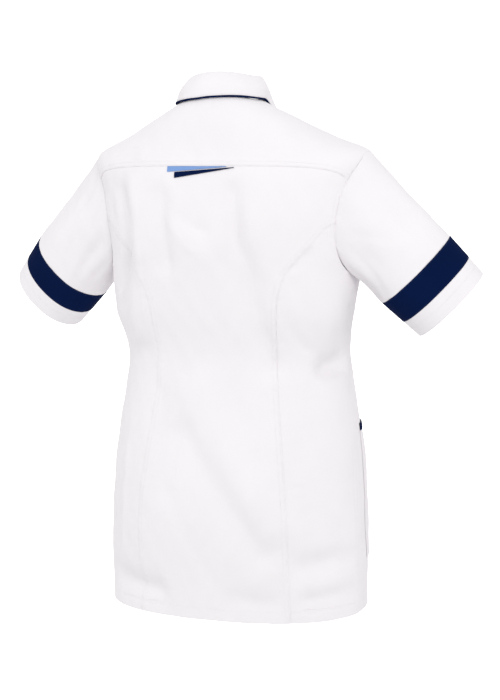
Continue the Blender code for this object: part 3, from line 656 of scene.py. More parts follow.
white_cloth = woven("white_cloth", (0.795, 0.773, 0.794), (0.778, 0.756, 0.778), 0.05, 0.18)


def finished(piece, finish, nodes=(), cloth_grid=None):
    """Gives a piece its finish and its body, and hides the parts named by its nodes; for a cloth piece the
    size of its cut is worked out.
    """
    piece.data.materials.append(finish)
    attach(piece, "root")
    if nodes:
        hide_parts(*nodes)
    if cloth_grid is not None:
        width = run_of(cloth_grid, 1)[:, -1].max() * MM
        length = max(run_of(cloth_grid, 0)[-1].max() * MM, SMALLEST_CUT)
        area = sum(face.area for face in piece.data.polygons) / 2
        area = min(area, width * length)
    return piece


def with_turning(base, normals, edge_up):
    """The middle layer and facing of a panel whose lowest edge is turned up inside: an arc joins both layers.

    At an angle of the arc the middle lies at centre + radius * (cos, sin) out of the cloth and up.
    """
    radius = HEM_LAYERS_APART / 2
    centre = -CLOTH / 2 - radius
    inside = np.linspace(HEM_TURNING, radius + CLOTH / 2, HEM_INSIDE_ROWS)[:-1]
    angles = np.radians(np.linspace(180, 360, HEM_ARC_STEPS + 1))
    out = np.concatenate([np.full(len(inside), centre - radius), centre + radius * np.cos(angles)])
    up = np.concatenate([inside, radius + CLOTH / 2 + radius * np.sin(angles)])
    face_out = np.concatenate([np.full(len(inside), -1.0), np.cos(angles)])
    face_up = np.concatenate([np.zeros(len(inside)), np.sin(angles)])
    first, normal = base[:1], normals[:1]
    middle = first + normal * out[:, None, None] + edge_up * up[:, None, None]
    facing = normal * face_out[:, None, None] + edge_up * face_up[:, None, None]
    keep = run_of(base, 0)[:, 0] > radius + CLOTH / 2 + HEM_CLEAR
    return (
        np.concatenate([middle, base[keep] - normals[keep] * CLOTH / 2]),
        np.concatenate([facing, normals[keep]]),
    )


def panel(name, grid, seams, nodes, lap=None, has_hem=True):
    """A body panel over a grid of (turn, level): the body surface with its seams' relief, as a thin wall."""
    turn, level = grid[..., 0], grid[..., 1]
    base = body(turn, level)
    normals = body_normal(turn, level)
    away = distances_in(base)
    raised = seam_relief(base, away, seams)
    if lap is not None:
        raised = raised + lap(base)
    outer = base + normals * raised[..., None]
    facing = facing_of(outer, normals)
    if has_hem:
        middle, facing_all = with_turning(outer, facing, np.array([0.0, 0.0, 1.0]))
    else:
        middle, facing_all = outer - facing * CLOTH / 2, facing
    half = facing_all * CLOTH / 2
    piece = wall(name, middle + half, middle - half)
    finished(piece, white_cloth, nodes, middle)
    return {"outer": outer, "normals": facing, "away": away}


# Seams of the wearer's right half, as (turn, level) from the lower end up
ANGLE_YOKE = armhole_angle(YOKE_SIDE)
ANGLE_PRINCESS = armhole_angle(PRINCESS_TOP)
armhole_side = armhole_curve(np.linspace(180, ANGLE_PRINCESS, 60), True)
armhole_back = armhole_curve(np.linspace(ANGLE_PRINCESS, ANGLE_YOKE, 30), True)
armhole_yoke = armhole_curve(np.linspace(ANGLE_YOKE, 0, 30), True)
armhole_front = armhole_curve(np.linspace(180, 0, 120), False)
hem_levels = np.linspace(HEM, UNDERARM, 160)
side_seam = np.stack([side_seam_at(hem_levels), hem_levels], -1)
princess_levels = np.linspace(HEM, PRINCESS_TOP - 6, 180)
princess_turns = turn_of_x(princess_at(princess_levels), princess_levels)
princess = np.vstack([np.stack([princess_turns, princess_levels], -1), armhole_back[0]])
yoke_share = np.linspace(-1, 1, 161)
yoke_levels = YOKE_CENTRE + (armhole_yoke[0, 1] - YOKE_CENTRE) * np.abs(yoke_share) ** YOKE_BEND
yoke_seam = np.stack([armhole_yoke[0, 0] * yoke_share, yoke_levels], -1)
shoulder_levels = np.linspace(SHOULDER_TIP, NECKLINE, 60)
shoulder = np.stack([np.full_like(shoulder_levels, 90.0), shoulder_levels], -1)
MIRROR = np.array([-1.0, 1.0])

centre_edge = joined(princess, armhole_back)
centre_across = even_shares(230)
centre_up = even_shares(640)
centre_right = resampled(centre_edge, centre_up)
hem_line = np.stack([centre_right[0, 0] * (2 * centre_across - 1), np.full_like(centre_across, HEM)], -1)
centre_grid = patch(
    hem_line, resampled(yoke_seam, centre_across), centre_right * MIRROR, centre_right,
    centre_across, centre_up**2,
)
PRESSED = (0.10, 0.35, 0.28)
UNDER = (0.32, 0.0, 0.24)
centre = panel(
    "centre_back",
    centre_grid,
    {"left": (*PRESSED, 0.3), "right": (*PRESSED, 1.1), "top": (*UNDER, 2.3)},
    ("back_centre",),
)

# The side backs: narrow panels that round the body from the princess seams to the side seams.
# They are of the same cloth, and their seams lie under the allowances of the centre back.
side_outer = joined(side_seam, armhole_side)
side_across = even_shares(95)
side_up = even_shares(520)
side_left = resampled(princess, side_up)
side_right = resampled(side_outer, side_up)
side_right[-1] += (side_right[-2] - side_right[-1]) * TIP_CUT
side_bottom = side_left[0] + (side_right[0] - side_left[0]) * side_across[:, None]
side_top = side_left[-1] + (side_right[-1] - side_left[-1]) * side_across[:, None]
side_grid = patch(side_bottom, side_top, side_left, side_right, side_across, side_up)
side_panels = {}
for side_name, side_sign in (("right", 1.0), ("left", -1.0)):
    one_grid = side_grid * np.array([side_sign, 1.0])
    one_grid = one_grid if side_sign > 0 else one_grid[:, ::-1]
    inner_edge, outer_edge = ("left", "right") if side_sign > 0 else ("right", "left")
    side_panels[side_name] = panel(
        f"side_back_{side_name}",
        one_grid,
        {inner_edge: (*UNDER, 1.1), outer_edge: (*PRESSED, 0.7)},
        (f"back_side_{side_name}",),
    )

# The yoke: one piece over the upper back and both shoulders, up to the neck seam.
# Its lower edge is stitched down over the back panels.
yoke_edge = joined(armhole_yoke, shoulder)
yoke_across = even_shares(330)
yoke_up = even_shares(170)
yoke_right = resampled(yoke_edge, yoke_up)
neck_line = np.stack([90.0 * (2 * yoke_across - 1), np.full_like(yoke_across, NECKLINE)], -1)
yoke_grid = patch(
    resampled(yoke_seam, yoke_across), neck_line, yoke_right * MIRROR, yoke_right, yoke_across, yoke_up
)
yoke = panel(
    "back_yoke",
    yoke_grid,
    {
        "bottom": (0.15, 0.5, 0.22, 2.3), "left": (*UNDER, 0.4),
        "right": (*UNDER, 0.9), "top": (0.6, 0.0, 0.1, 1.9),
    },
    ("yoke",),
    has_hem=False,
)

# The fronts: each runs from its side seam to its edge past the centre, and up to the shoulder and neck.
# The right one laps over the left one. A bust form and a hip pocket are on each.
OVERLAP = 15.0
LAP_RUN = 40.0
LAP_MARGIN = 4.0
LAP_RISE = 2.32
FRONT_ROWS_LOW = 162
FRONT_ROWS_TOP = 100


def front_edge(levels, reach):
    """The front opening's edge: the line at a distance past the centre front."""
    return np.stack([180 + turn_of_x(np.full_like(levels, reach), levels), levels], -1)


def right_lap(points):
    """How far the right front stands off, where it runs over the left one: a smooth step over LAP_RUN."""
    return LAP_RISE * smooth(1 - (-points[..., 0] - OVERLAP - LAP_MARGIN) / LAP_RUN)


front_levels_low = np.linspace(HEM, UNDERARM, FRONT_ROWS_LOW)
front_levels_top = np.linspace(UNDERARM, NECKLINE, FRONT_ROWS_TOP)
front_across = even_shares(200)
front_side = np.vstack([
    np.stack([side_seam_at(front_levels_low), front_levels_low], -1),
    resampled(armhole_front, np.linspace(0, 1, FRONT_ROWS_TOP))[1:],
])
front_centre = front_edge(np.concatenate([front_levels_low, front_levels_top[1:]]), OVERLAP)
front_up = np.concatenate([np.zeros(FRONT_ROWS_LOW), np.linspace(0, 1, FRONT_ROWS_TOP)[1:]])
front_bottom = front_side[0] + (front_centre[0] - front_side[0]) * front_across[:, None]
neck_front_turns = np.linspace(90.0, front_centre[-1, 0], 80)
neck_front = np.stack([neck_front_turns, np.full_like(neck_front_turns, NECKLINE)], -1)
front_top = resampled(joined(shoulder, neck_front), front_across)
front_grid = patch(front_bottom, front_top, front_side, front_centre, front_across, front_up)
FRONT_SEAMS = {"left": (*UNDER, 0.7), "right": (0.15, 0.0, 0.08, 2.9), "top": (0.8, 0.0, 0.15, 0.9)}
fronts = {
    "right": panel("right_front", front_grid, FRONT_SEAMS, ("front_right",), lap=right_lap),
    "left": panel(
        "left_front",
        (front_grid * MIRROR)[:, ::-1],
        {"right": FRONT_SEAMS["left"], "left": FRONT_SEAMS["right"], "top": FRONT_SEAMS["top"]},
        ("front_left",),
    ),
}

# The hip pockets: patches of white cloth on the fronts, open at the top, with a navy strip along it.
# They are made from the front's own surface, moved out, and stand off a little in the middle.
POCKET_TOP = -461.0
POCKET_BOTTOM = -655.0
POCKET_EDGE = 10.0
POCKET_SIDE_SHARE = 2 / 14
POCKET_CENTRE_SHARE = 9 / 14
POCKET_LIFT = 0.35
POCKET_STAND_OFF = 1.6
POCKET_FLATNESS = 0.7
POCKET_PILLOW_START = 0.08
POCKET_PILLOW_SPAN = 0.78
POCKET_STRIP_UNDER = 0.6
POCKET_STRIP_SWELL = 0.5
STRIP_ROWS = 6
navy_cloth = woven("navy_cloth", (0.0024, 0.0090, 0.0480), (0.0019, 0.0074, 0.0400), 0.0, 0.02)


def front_patch(sign, low, high, across, up):
    """(turn, level) between two shares of the front's width and between two levels."""
    levels = low + (high - low) * up
    side = side_seam_at(levels)[:, None]
    centre_turn = front_edge(levels, OVERLAP)[:, :1]
    share = POCKET_SIDE_SHARE + (POCKET_CENTRE_SHARE - POCKET_SIDE_SHARE) * across[None]
    turn = side + (centre_turn - side) * share
    return np.stack([turn * sign, np.broadcast_to(levels[:, None], turn.shape)], -1)


def laid_on(name, grid, raised, thickness, finish, nodes):
    """A piece sewn on a panel: the body surface under it, moved out, with its edges rolled down."""
    base = body(grid[..., 0], grid[..., 1])
    normals = body_normal(grid[..., 0], grid[..., 1])
    outer = base + normals * (raised + thickness)[..., None]
    facing = facing_of(outer, normals)
    piece = wall(name, outer, outer - facing * thickness)
    finished(piece, finish, nodes, outer)
    return {"outer": outer, "normals": facing, "away": distances_in(outer)}


def pocket_raise(grid, across, up):
    """The lift of a pocket: a low pillow, least at its three sewn edges, on the lap of the front."""
    lap = right_lap(body(grid[..., 0], grid[..., 1])) if grid[0, 0, 0] > 0 else 0
    rise = np.sin(math.pi * (POCKET_PILLOW_START + POCKET_PILLOW_SPAN * up))
    pillow = np.sin(math.pi * across)[None] ** POCKET_FLATNESS * rise[:, None]
    return POCKET_LIFT + POCKET_STAND_OFF * pillow + lap


pocket_across = even_shares(115)
pocket_up = even_shares(184)
strip_up = np.linspace(0, 1, STRIP_ROWS)
pockets, pocket_strips = {}, {}
for side_name, side_sign in (("right", 1.0), ("left", -1.0)):
    one_grid = front_patch(side_sign, POCKET_BOTTOM, POCKET_TOP - POCKET_EDGE, pocket_across, pocket_up)
    raised = pocket_raise(one_grid, pocket_across, pocket_up)
    pockets[side_name] = laid_on(
        f"hip_pocket_{side_name}", one_grid, raised, CLOTH, white_cloth,
        (f"pocket_{side_name}",),
    )
    strip_low = POCKET_TOP - POCKET_EDGE - POCKET_STRIP_UNDER
    one_grid = front_patch(side_sign, strip_low, POCKET_TOP, pocket_across, strip_up)
    raised = pocket_raise(one_grid, pocket_across, np.ones(STRIP_ROWS))
    raised = raised + POCKET_STRIP_SWELL * np.sin(math.pi * strip_up)[:, None]
    pocket_strips[side_name] = laid_on(
        f"pocket_strip_{side_name}", one_grid, raised, CLOTH, navy_cloth,
        (f"pocket_edge_{side_name}",),
    )

# The two tapered strips under the yoke seam, left of the centre back: light blue above, navy below.
# Each is a thin strip of dyed cloth, caught in the yoke seam at its upper edge and stitched down.
# Each strip: x of its tip and end, its drop below the seam there, and its width there
STRIP_UPPER = (-28.0, 59.0, 0.6, 0.6, 0.9, 7.6)
STRIP_LOWER = (-39.0, 48.0, 1.9, 8.4, 0.9, 8.2)
STRIP_CLOTH = 0.7
STRIP_ROLL = 0.35
STRIP_ROLL_SHARE = 0.2
light_blue_cloth = woven("light_blue_cloth", (0.196, 0.328, 0.625), (0.181, 0.303, 0.585), 0.0, 0.08)
strip_along = np.linspace(0, 1, 60)
strip_down = np.linspace(0, 1, 9)
flashes = {}
for strip_name, row, finish, slot, strip_lift in (
    ("light", STRIP_UPPER, light_blue_cloth, "light_blue_cloth", 0.25),
    ("navy", STRIP_LOWER, navy_cloth, "navy_cloth", 0.42),
):
    tip_x, end_x, tip_drop, end_drop, tip_width, end_width = row
    x = end_x + (tip_x - end_x) * strip_along
    taper = (x - tip_x) / (end_x - tip_x)
    drop = tip_drop + (end_drop - tip_drop) * taper
    width = tip_width + (end_width - tip_width) * taper
    seam_turn = turn_of_x(-x, np.full_like(x, YOKE_CENTRE))
    seam_level = np.interp(seam_turn, yoke_seam[:, 0], yoke_seam[:, 1])
    levels = seam_level[None] - drop[None] - width[None] * (1 - strip_down[:, None])
    turns = turn_of_x(np.broadcast_to(-x, levels.shape), levels)
    one_grid = np.stack([turns, levels], -1)
    edge = np.minimum(strip_down, 1 - strip_down)[:, None]
    raised = strip_lift + STRIP_ROLL * smooth(edge / STRIP_ROLL_SHARE) * np.ones_like(levels)
    flashes[strip_name] = laid_on(
        f"strip_{strip_name}", one_grid, raised, STRIP_CLOTH, finish,
        (f"flash_{strip_name}",),
    )

# The sleeves: set in round the armholes, with a navy band near the end and a white hem below it.
# Each is a tube. The hem is turned up inside, and soft folds gather towards the underarm.
CUFF_TOP = (352.0, -82.0, -243.5)
SLEEVE_LINE = unit(np.array((0.665, -0.23, -0.71)))
CUFF_HALF_HEIGHT = 62.5
CUFF_HALF_DEPTH = 53.0
CUFF_HEM = 31.0
BAND_WIDTH = 40.0
SLEEVE_TAPER = 0.035
LEAVE_OUT_TOP = -0.8
LEAVE_OUT_UNDERARM = 0.6
LEAVE_ALONG = 0.1
UNDERARM_SHARE = 0.7
UNDERARM_EASE = 1.2
UNDERARM_EASE_RUN = 6
TUBE_STEP = 2.6
BAND_LIFT = 0.25
CUFF_DIP = 0.5
CUFF_DIP_RUN = 2.0
SLEEVE_END_CALM = 0.2
UNDERARM_SEAM = (0.35, 0.25, 0.10, 0.5)
UNDERARM_COLUMN = 80

# Unevenness of a sleeve's end: waves round it, their shift on the right sleeve and their height
SLEEVE_WOBBLE = ((3, 1, 0.5), (5, -2, 0.35))
SLEEVE_HALF = np.linspace(0, 180, UNDERARM_COLUMN + 1)
SLEEVE_ANGLES = np.concatenate([SLEEVE_HALF, SLEEVE_HALF[::-1][1:-1]])
SLEEVE_ROUND = np.concatenate([SLEEVE_HALF, 180 + SLEEVE_HALF[1:-1]])

# Folds of a sleeve: angle round it from the top towards the back, depth, half width, place, reach, slant
SLEEVE_FOLDS = {
    "right": (
        (40, 3.0, 16, 0.5, 0.3, 0), (75, -2.5, 16, 0.55, 0.3, 0), (112, 4.0, 16, 0.45, 0.3, 0),
        (300, 3.0, 18, 0.5, 0.3, 0), (128, 1.6, 7, 0.55, 0.35, 20), (92, 1.2, 6, 0.35, 0.3, -25),
        (150, 2.2, 9, 0.4, 0.35, 12), (55, 0.9, 8, 0.7, 0.3, 18), (250, 1.6, 9, 0.5, 0.35, -20),
    ),
    "left": (
        (40, 3.0, 16, 0.5, 0.3, 0), (75, -2.5, 16, 0.55, 0.3, 0), (112, 4.0, 16, 0.45, 0.3, 0),
        (300, 3.0, 18, 0.5, 0.3, 0), (60, 1.9, 7, 0.25, 0.3, 25), (84, 2.2, 8, 0.35, 0.35, 18),
        (104, -1.6, 7, 0.4, 0.3, 20), (122, 2.4, 8, 0.5, 0.4, 15), (145, 1.8, 8, 0.4, 0.35, 10),
        (240, 1.6, 9, 0.5, 0.35, -20),
    ),
}


def sleeve_ring(sign, along, shrink=0.0):
    """The oval ring of a sleeve's straight end, at a distance up from its hem."""
    up = unit(np.array([0.0, 0.0, 1.0]) - SLEEVE_LINE[2] * SLEEVE_LINE)
    across = np.cross(up, SLEEVE_LINE)
    angle = np.radians(SLEEVE_ROUND)[:, None]
    grow = 1 + SLEEVE_TAPER * along / BAND_WIDTH
    centre_point = np.array(CUFF_TOP) - up * CUFF_HALF_HEIGHT - SLEEVE_LINE * along
    wobble = sum(size * np.sin(waves * angle + shift * sign) for waves, shift, size in SLEEVE_WOBBLE)
    height = (CUFF_HALF_HEIGHT * grow - shrink + wobble) * np.cos(angle)
    depth = (CUFF_HALF_DEPTH * grow - shrink + wobble) * np.sin(angle)
    return (centre_point + up * height + across * depth) * np.array([-sign, 1.0, 1.0])


def sleeve_surface(side, sign, step):
    """A set-in sleeve and its normals: Hermite curves from the armhole to the band's upper ring."""
    loop = np.vstack([armhole_curve(SLEEVE_HALF, True), armhole_curve(SLEEVE_HALF[::-1][1:-1], False)])
    loop = loop * np.array([sign, 1.0])
    start = body(loop[:, 0], loop[:, 1])
    normal = body_normal(loop[:, 0], loop[:, 1])
    run = np.roll(start, -1, 0) - np.roll(start, 1, 0)
    inside = unit(np.cross(run, normal))
    inside *= np.sign(((start.mean(0) - start) * inside).sum())
    line = SLEEVE_LINE * np.array([-sign, 1.0, 1.0])
    share = (np.cos(np.radians(SLEEVE_ANGLES / 2)) ** 2)[:, None]
    end = sleeve_ring(sign, CUFF_HEM + BAND_WIDTH)
    reach = np.linalg.norm(end - start, axis=-1, keepdims=True)
    leave = unit(share * LEAVE_ALONG * inside + (1 - share * LEAVE_ALONG) * unit(end - start))
    under = smooth((1 - share) / UNDERARM_SHARE)
    least = LEAVE_OUT_TOP + (LEAVE_OUT_UNDERARM - LEAVE_OUT_TOP) * under
    leave = unit(leave + normal * np.maximum(least - (leave * normal).sum(-1, keepdims=True), 0))
    first = start + inside * UNDERARM_EASE * (1 - share) ** UNDERARM_EASE_RUN
    step = step[:, None, None]
    outer = first * (2 * step**3 - 3 * step**2 + 1) + end * (3 * step**2 - 2 * step**3)
    outer = outer + leave * reach * (step**3 - 2 * step**2 + step) + line * reach * (step**3 - step**2)
    normals = grid_normals(outer, True)
    normals *= np.sign((normals[-1] * (end - end.mean(0))).sum())
    along = step[..., 0]
    calm = smooth(along / SLEEVE_END_CALM) * smooth((1 - along) / SLEEVE_END_CALM)
    lift = ripples(outer)
    for centre_angle, depth, half_width, place, fold_reach, slant in SLEEVE_FOLDS[side]:
        offset = (SLEEVE_ROUND - centre_angle + 180) % 360 - 180
        across = (offset - slant * (along - place) * 2) / half_width
        lift = lift - calm * depth * np.exp(-(across**2) - ((along - place) / fold_reach) ** 2)
    return outer + normals * lift[..., None], normals


def underarm_groove(outer):
    """The height of a tube's cloth near its underarm seam, which runs along the column at 180 degrees."""
    round_run, along = run_of(outer, 1), run_of(outer, 0)
    away = np.abs(round_run - round_run[:, UNDERARM_COLUMN : UNDERARM_COLUMN + 1])
    return seam_shape(away, along, *UNDERARM_SEAM)


def tube_panel(name, outer, normals, finish, nodes, seams):
    """A tube of cloth between two seams, its grid of outer points given from the top, as a thin wall."""
    away = {"top": run_of(outer, 0), "bottom": run_back(outer, 0)}
    raised = underarm_groove(outer) + seam_relief(outer, away, seams)
    outer = outer + normals * raised[..., None]
    facing = facing_of(outer, normals, True)
    piece = wall(name, outer, outer - facing * CLOTH, True)
    finished(piece, finish, nodes, np.concatenate([outer, outer[:, :1]], 1))
    return {"outer": outer, "normals": facing, "away": away}


sleeves, bands, cuffs = {}, {}, {}
for side_name, side_sign in (("right", 1.0), ("left", -1.0)):
    surface, surface_normals = sleeve_surface(side_name, side_sign, even_shares(150, TUBE_STEP))
    sleeves[side_name] = tube_panel(
        f"set_in_sleeve_{side_name}", surface, surface_normals, white_cloth,
        (f"sleeve_{side_name}",), {"top": (*UNDER, 0.6), "bottom": (0.5, 0.0, 0.12, 1.2)},
    )
    band_places = CUFF_HEM + BAND_WIDTH * (1 - even_shares(BAND_WIDTH, TUBE_STEP))
    surface = np.stack([sleeve_ring(side_sign, place) for place in band_places])
    outward = unit(surface - surface.mean(1, keepdims=True))
    bands[side_name] = tube_panel(
        f"sleeve_band_{side_name}", surface + outward * BAND_LIFT, outward, navy_cloth,
        (f"band_{side_name}",), {"top": (0.25, 0.0, 0.10, 1.2), "bottom": (0.25, 0.0, 0.10, 0.2)},
    )
    cuff_places = CUFF_HEM * (1 - even_shares(CUFF_HEM, TUBE_STEP))
    surface = np.stack([sleeve_ring(side_sign, place) for place in cuff_places])
    outward = unit(surface - surface.mean(1, keepdims=True))
    cuff_dip = CUFF_DIP * (1 - smooth((CUFF_HEM - cuff_places) / CUFF_DIP_RUN))
    surface = surface - outward * cuff_dip[:, None, None]
    surface = surface + outward * underarm_groove(surface)[..., None]
    line = SLEEVE_LINE * np.array([-side_sign, 1.0, 1.0])
    middle, facing_all = with_turning(surface[::-1], outward[::-1], -line)
    half = facing_all * CLOTH / 2
    cuff = wall(f"sleeve_hem_{side_name}", middle + half, middle - half, True)
    finished(cuff, white_cloth, (f"cuff_{side_name}",),
             np.concatenate([middle, middle[:, :1]], 1))
    cuffs[side_name] = {"outer": surface, "normals": outward, "away": {"bottom": run_back(surface, 0)}}

# The collar: a stand round the neck and a leaf folded down over it, both of doubled white cloth.
# Navy piping is caught in the leaf's outer edge and its two front edges.
STAND_HEIGHT_BACK = 29.0
STAND_HEIGHT_FRONT = 24.0
STAND_LEAN = 5.0
STAND_TILT = 1.5
STAND_OVER_LAP = 1.8
STAND_END = 176.0
STAND_UP = np.array([0.0, -0.30, 0.954])
NECK_CENTRE_Y = -4.0
LAYER_GAP = 0.36
COLLAR_CLOTH = 1.8
LEAF_ROLL_OUT = 5.0
LEAF_FLATTER_BELOW = 0.4
LEAF_CLEARANCE = 4.3
LEAF_OVER_STAND = 0.6
LEAF_EDGE = ((0.0, 0, 4.5), (0.25, 46, 5.5), (0.5, 89, 7.5), (0.66, 116, 16), (0.82, 140, 47), (1.0, 160, 82))
LEAF_TILT = 4.0
LEAF_ROLL = ((-0.9, 0.0), (2.4, -0.1), (5.2, -1.8))
LEAF_ROWS = 6
LEAF_WAVE = 0.6
LEAF_WAVES = 9
LEAF_SEAM = (0.55, 0.0, 0.12)
LEAF_SEAM_SHARE = 0.7

# The share of the leaf's height below its roll, and the number of finer rows over the roll
BELOW_ROLL = 0.8
ROLL_ROWS = 14
COLLAR_COLUMNS = 181
PIPING_RADIUS = 1.5
PIPING_SKIP = 16
PIPING_OFF = 0.8

# A direction near +Z to which no part of the piping's route is parallel
NEAR_UP = (0.01, 0.01, 1.01)


def neck_points(turns, height):
    """Points of the stand's outer face at a share of its height: the neck ring moved up and inwards."""
    base = body(turns, NECKLINE)
    clear = LAYER_GAP + STAND_OVER_LAP * (1 - np.cos(np.radians(turns))) / 2
    backness = smooth(1 + np.cos(np.radians(turns)))
    full = STAND_HEIGHT_FRONT + (STAND_HEIGHT_BACK - STAND_HEIGHT_FRONT) * backness
    full = full + STAND_TILT * np.sin(np.radians(turns))
    inward = unit(np.array([0.0, NECK_CENTRE_Y, 0.0]) - base * np.array([1.0, 1.0, 0.0]))
    return base + STAND_UP * (full * height + clear)[:, None] + inward * STAND_LEAN * height


collar_turns = np.linspace(-STAND_END, STAND_END, COLLAR_COLUMNS)
stand_points = np.stack([neck_points(collar_turns, height) for height in even_shares(STAND_HEIGHT_BACK, 2.0)])
stand_normals = grid_normals(stand_points)
stand = wall("collar_stand_band", stand_points, stand_points - stand_normals * COLLAR_CLOTH)
finished(stand, white_cloth, ("collar_stand",), stand_points)

edge_table = np.array(LEAF_EDGE, float)
collar_share = np.linspace(-1, 1, COLLAR_COLUMNS)
edge_turn = natural_spline(edge_table[:, 0], edge_table[:, 1])(np.abs(collar_share)) * np.sign(collar_share)
edge_drop = natural_spline(edge_table[:, 0], edge_table[:, 2])(np.abs(collar_share))
edge_level = NECKLINE - edge_drop + LEAF_TILT * np.sin(np.radians(edge_turn))
leaf_edge = body(edge_turn, edge_level) + body_normal(edge_turn, edge_level) * LEAF_CLEARANCE
stand_top = neck_points(collar_turns, 1.0)
away_from_neck = unit((stand_top - np.array([0.0, NECK_CENTRE_Y, 0.0])) * np.array([1.0, 1.0, 0.0]))
top_run = unit(np.gradient(stand_top, axis=0))
leaf_rise = (COLLAR_CLOTH + LEAF_OVER_STAND) / np.hypot(top_run[:, :1], top_run[:, 1:2])
leaf_rows = [stand_top + away_from_neck * out + STAND_UP * (leaf_rise + up) for out, up in LEAF_ROLL]
for step in np.linspace(0, 1, LEAF_ROWS + 1)[1:]:
    bulge = LEAF_ROLL_OUT * np.sin(math.pi * step) * (1 - LEAF_FLATTER_BELOW * step)
    leaf_rows.append(leaf_rows[2] * (1 - step) + leaf_edge * step + away_from_neck * bulge)
leaf_rows = np.stack(leaf_rows)[::-1]
row_places = run_of(leaf_rows, 0)[:, COLLAR_COLUMNS // 2]
fine_places = np.concatenate([
    even_shares(row_places[-1] * BELOW_ROLL, 2.2) * row_places[-1] * BELOW_ROLL,
    np.linspace(row_places[-1] * BELOW_ROLL, row_places[-1], ROLL_ROWS)[1:],
])
leaf_points = natural_spline(row_places, leaf_rows)(fine_places)
leaf_normals = grid_normals(leaf_points)
leaf_away = distances_in(leaf_points)
leaf_shape = seam_relief(leaf_points, leaf_away, {
    edge: (*LEAF_SEAM, phase) for edge, phase in (("bottom", 0.7), ("left", 1.3), ("right", 2.1))
})
leaf_up = np.linspace(0, 1, len(leaf_points))
leaf_wave = LEAF_WAVE * np.sin(collar_share * LEAF_WAVES + 1)[None] * np.sin(math.pi * leaf_up)[:, None]
leaf_outer = leaf_points + leaf_normals * (leaf_shape * LEAF_SEAM_SHARE + leaf_wave)[..., None]
leaf = wall("collar_leaf_fold", leaf_outer, leaf_points - leaf_normals * COLLAR_CLOTH)
finished(leaf, white_cloth, ("collar_leaf",), leaf_outer)


def mitre(first, second):
    """The way to a corner that lies 1 out from both of two edges: their sum over 1 plus their product."""
    return (first + second) / (1 + first @ second)


def piping_route(middle):
    """A line just off three edges of the leaf's middle layer: down a front, along the edge, and up."""
    edges = ((middle[::-1, 0], middle[::-1, 1]), (middle[0], middle[1]), (middle[:, -1], middle[:, -2]))
    away = []
    for edge_line, inner_line in edges:
        run = unit(np.gradient(edge_line, axis=0))
        outward = edge_line - inner_line
        away.append(unit(outward - (outward * run).sum(-1, keepdims=True) * run))
    off = PIPING_RADIUS * PIPING_OFF
    down, along, up = (edge_line + out * off for (edge_line, _), out in zip(edges, away))
    first = middle[0, 0] + mitre(away[0][-1], away[1][0]) * off
    second = middle[0, -1] + mitre(away[1][-1], away[2][0]) * off
    return np.vstack([down[PIPING_SKIP:-2], first[None], along[2:-2], second[None], up[2:-PIPING_SKIP]])


def turned_faces(count, sides):
    """The faces of rings of points joined in turn, with a cap of one face at each end."""
    number = np.arange(count * sides).reshape(count, sides)
    after = np.roll(number, -1, 1)
    faces = np.stack([number[:-1], after[:-1], after[1:], number[1:]], -1).reshape(-1, 4).tolist()
    return faces + [number[0][::-1].tolist(), number[-1].tolist()]


def cord_along(name, route, radius, sides=12):
    """A round cord: circles square to a route, joined, with a cap of one face at each end."""
    tangent = unit(np.gradient(route, axis=0))
    first = unit(np.cross(tangent, np.array(NEAR_UP)))
    second = np.cross(tangent, first)
    angle = np.linspace(0, 2 * math.pi, sides, endpoint=False)[:, None, None]
    rings = route + (first * np.cos(angle) + second * np.sin(angle)) * radius
    mesh = mesh_of(name, np.moveaxis(rings, 0, 1), turned_faces(len(route), sides))
    chart = np.zeros((len(mesh.loops), 2), np.float32)
    corner = np.zeros(len(mesh.loops), np.int32)
    mesh.loops.foreach_get("vertex_index", corner)
    chart[:, 0] = run_of(route, 0)[corner // sides] * MM
    chart[:, 1] = (corner % sides) * 2 * math.pi * radius * MM / sides
    mesh.uv_layers.new(name="cloth").uv.foreach_set("vector", chart.ravel())
    faced_out(mesh)
    return placed(name, mesh)


leaf_middle = leaf_points - leaf_normals * COLLAR_CLOTH / 2
piping = cord_along("collar_edge_piping", piping_route(leaf_middle), PIPING_RADIUS)
finished(piping, navy_cloth, ("collar_piping",))

# The buttons: seven flat moulded ones down the centre front, each with a raised rim and four holes.
# A cross of thread holds each one, and a worked buttonhole stands upright behind it.
BUTTON_COUNT = 7
BUTTON_TOP_Z = -104.0
BUTTON_BOTTOM_Z = -652.0
BUTTON_LIFT = 0.45
BUTTON_SIDES = 48
BUTTON_CLOUD_SCALE = 260

# The button's profile, as radius and height, from its underside over the rim to the hollow of its face
BUTTON_PROFILE = (
    (6.4, 0.0), (7.2, 0.35), (7.5, 1.1), (7.35, 1.9), (6.7, 2.5), (5.9, 2.6), (5.2, 2.2), (4.6, 1.75),
)
HOLE_RADIUS = 0.8
HOLE_OFFSET = 1.5
HOLE_SIDES = 16
HOLE_DEPTH = 10


def clouded(name, low, high, scale, inputs):
    """A finish whose colour moves between two shades with one noise over the Object coordinates."""
    made = new_finish(name, inputs)
    nodes, links = made.node_tree.nodes, made.node_tree.links
    place = added(nodes, "TexCoord")
    noise = added(nodes, "TexNoise", {"Scale": scale})
    ramp = shade_ramp(nodes, low, high)
    links.new(place.outputs["Object"], noise.inputs["Vector"])
    links.new(noise.outputs["Fac"], ramp.inputs["Fac"])
    links.new(ramp.outputs["Color"], nodes["Principled BSDF"].inputs["Base Color"])
    return made


button_finish = clouded(
    "button_finish", (0.78, 0.78, 0.79), (0.86, 0.86, 0.86), BUTTON_CLOUD_SCALE,
    {"Roughness": 0.3, "Coat Weight": 0.2},
)


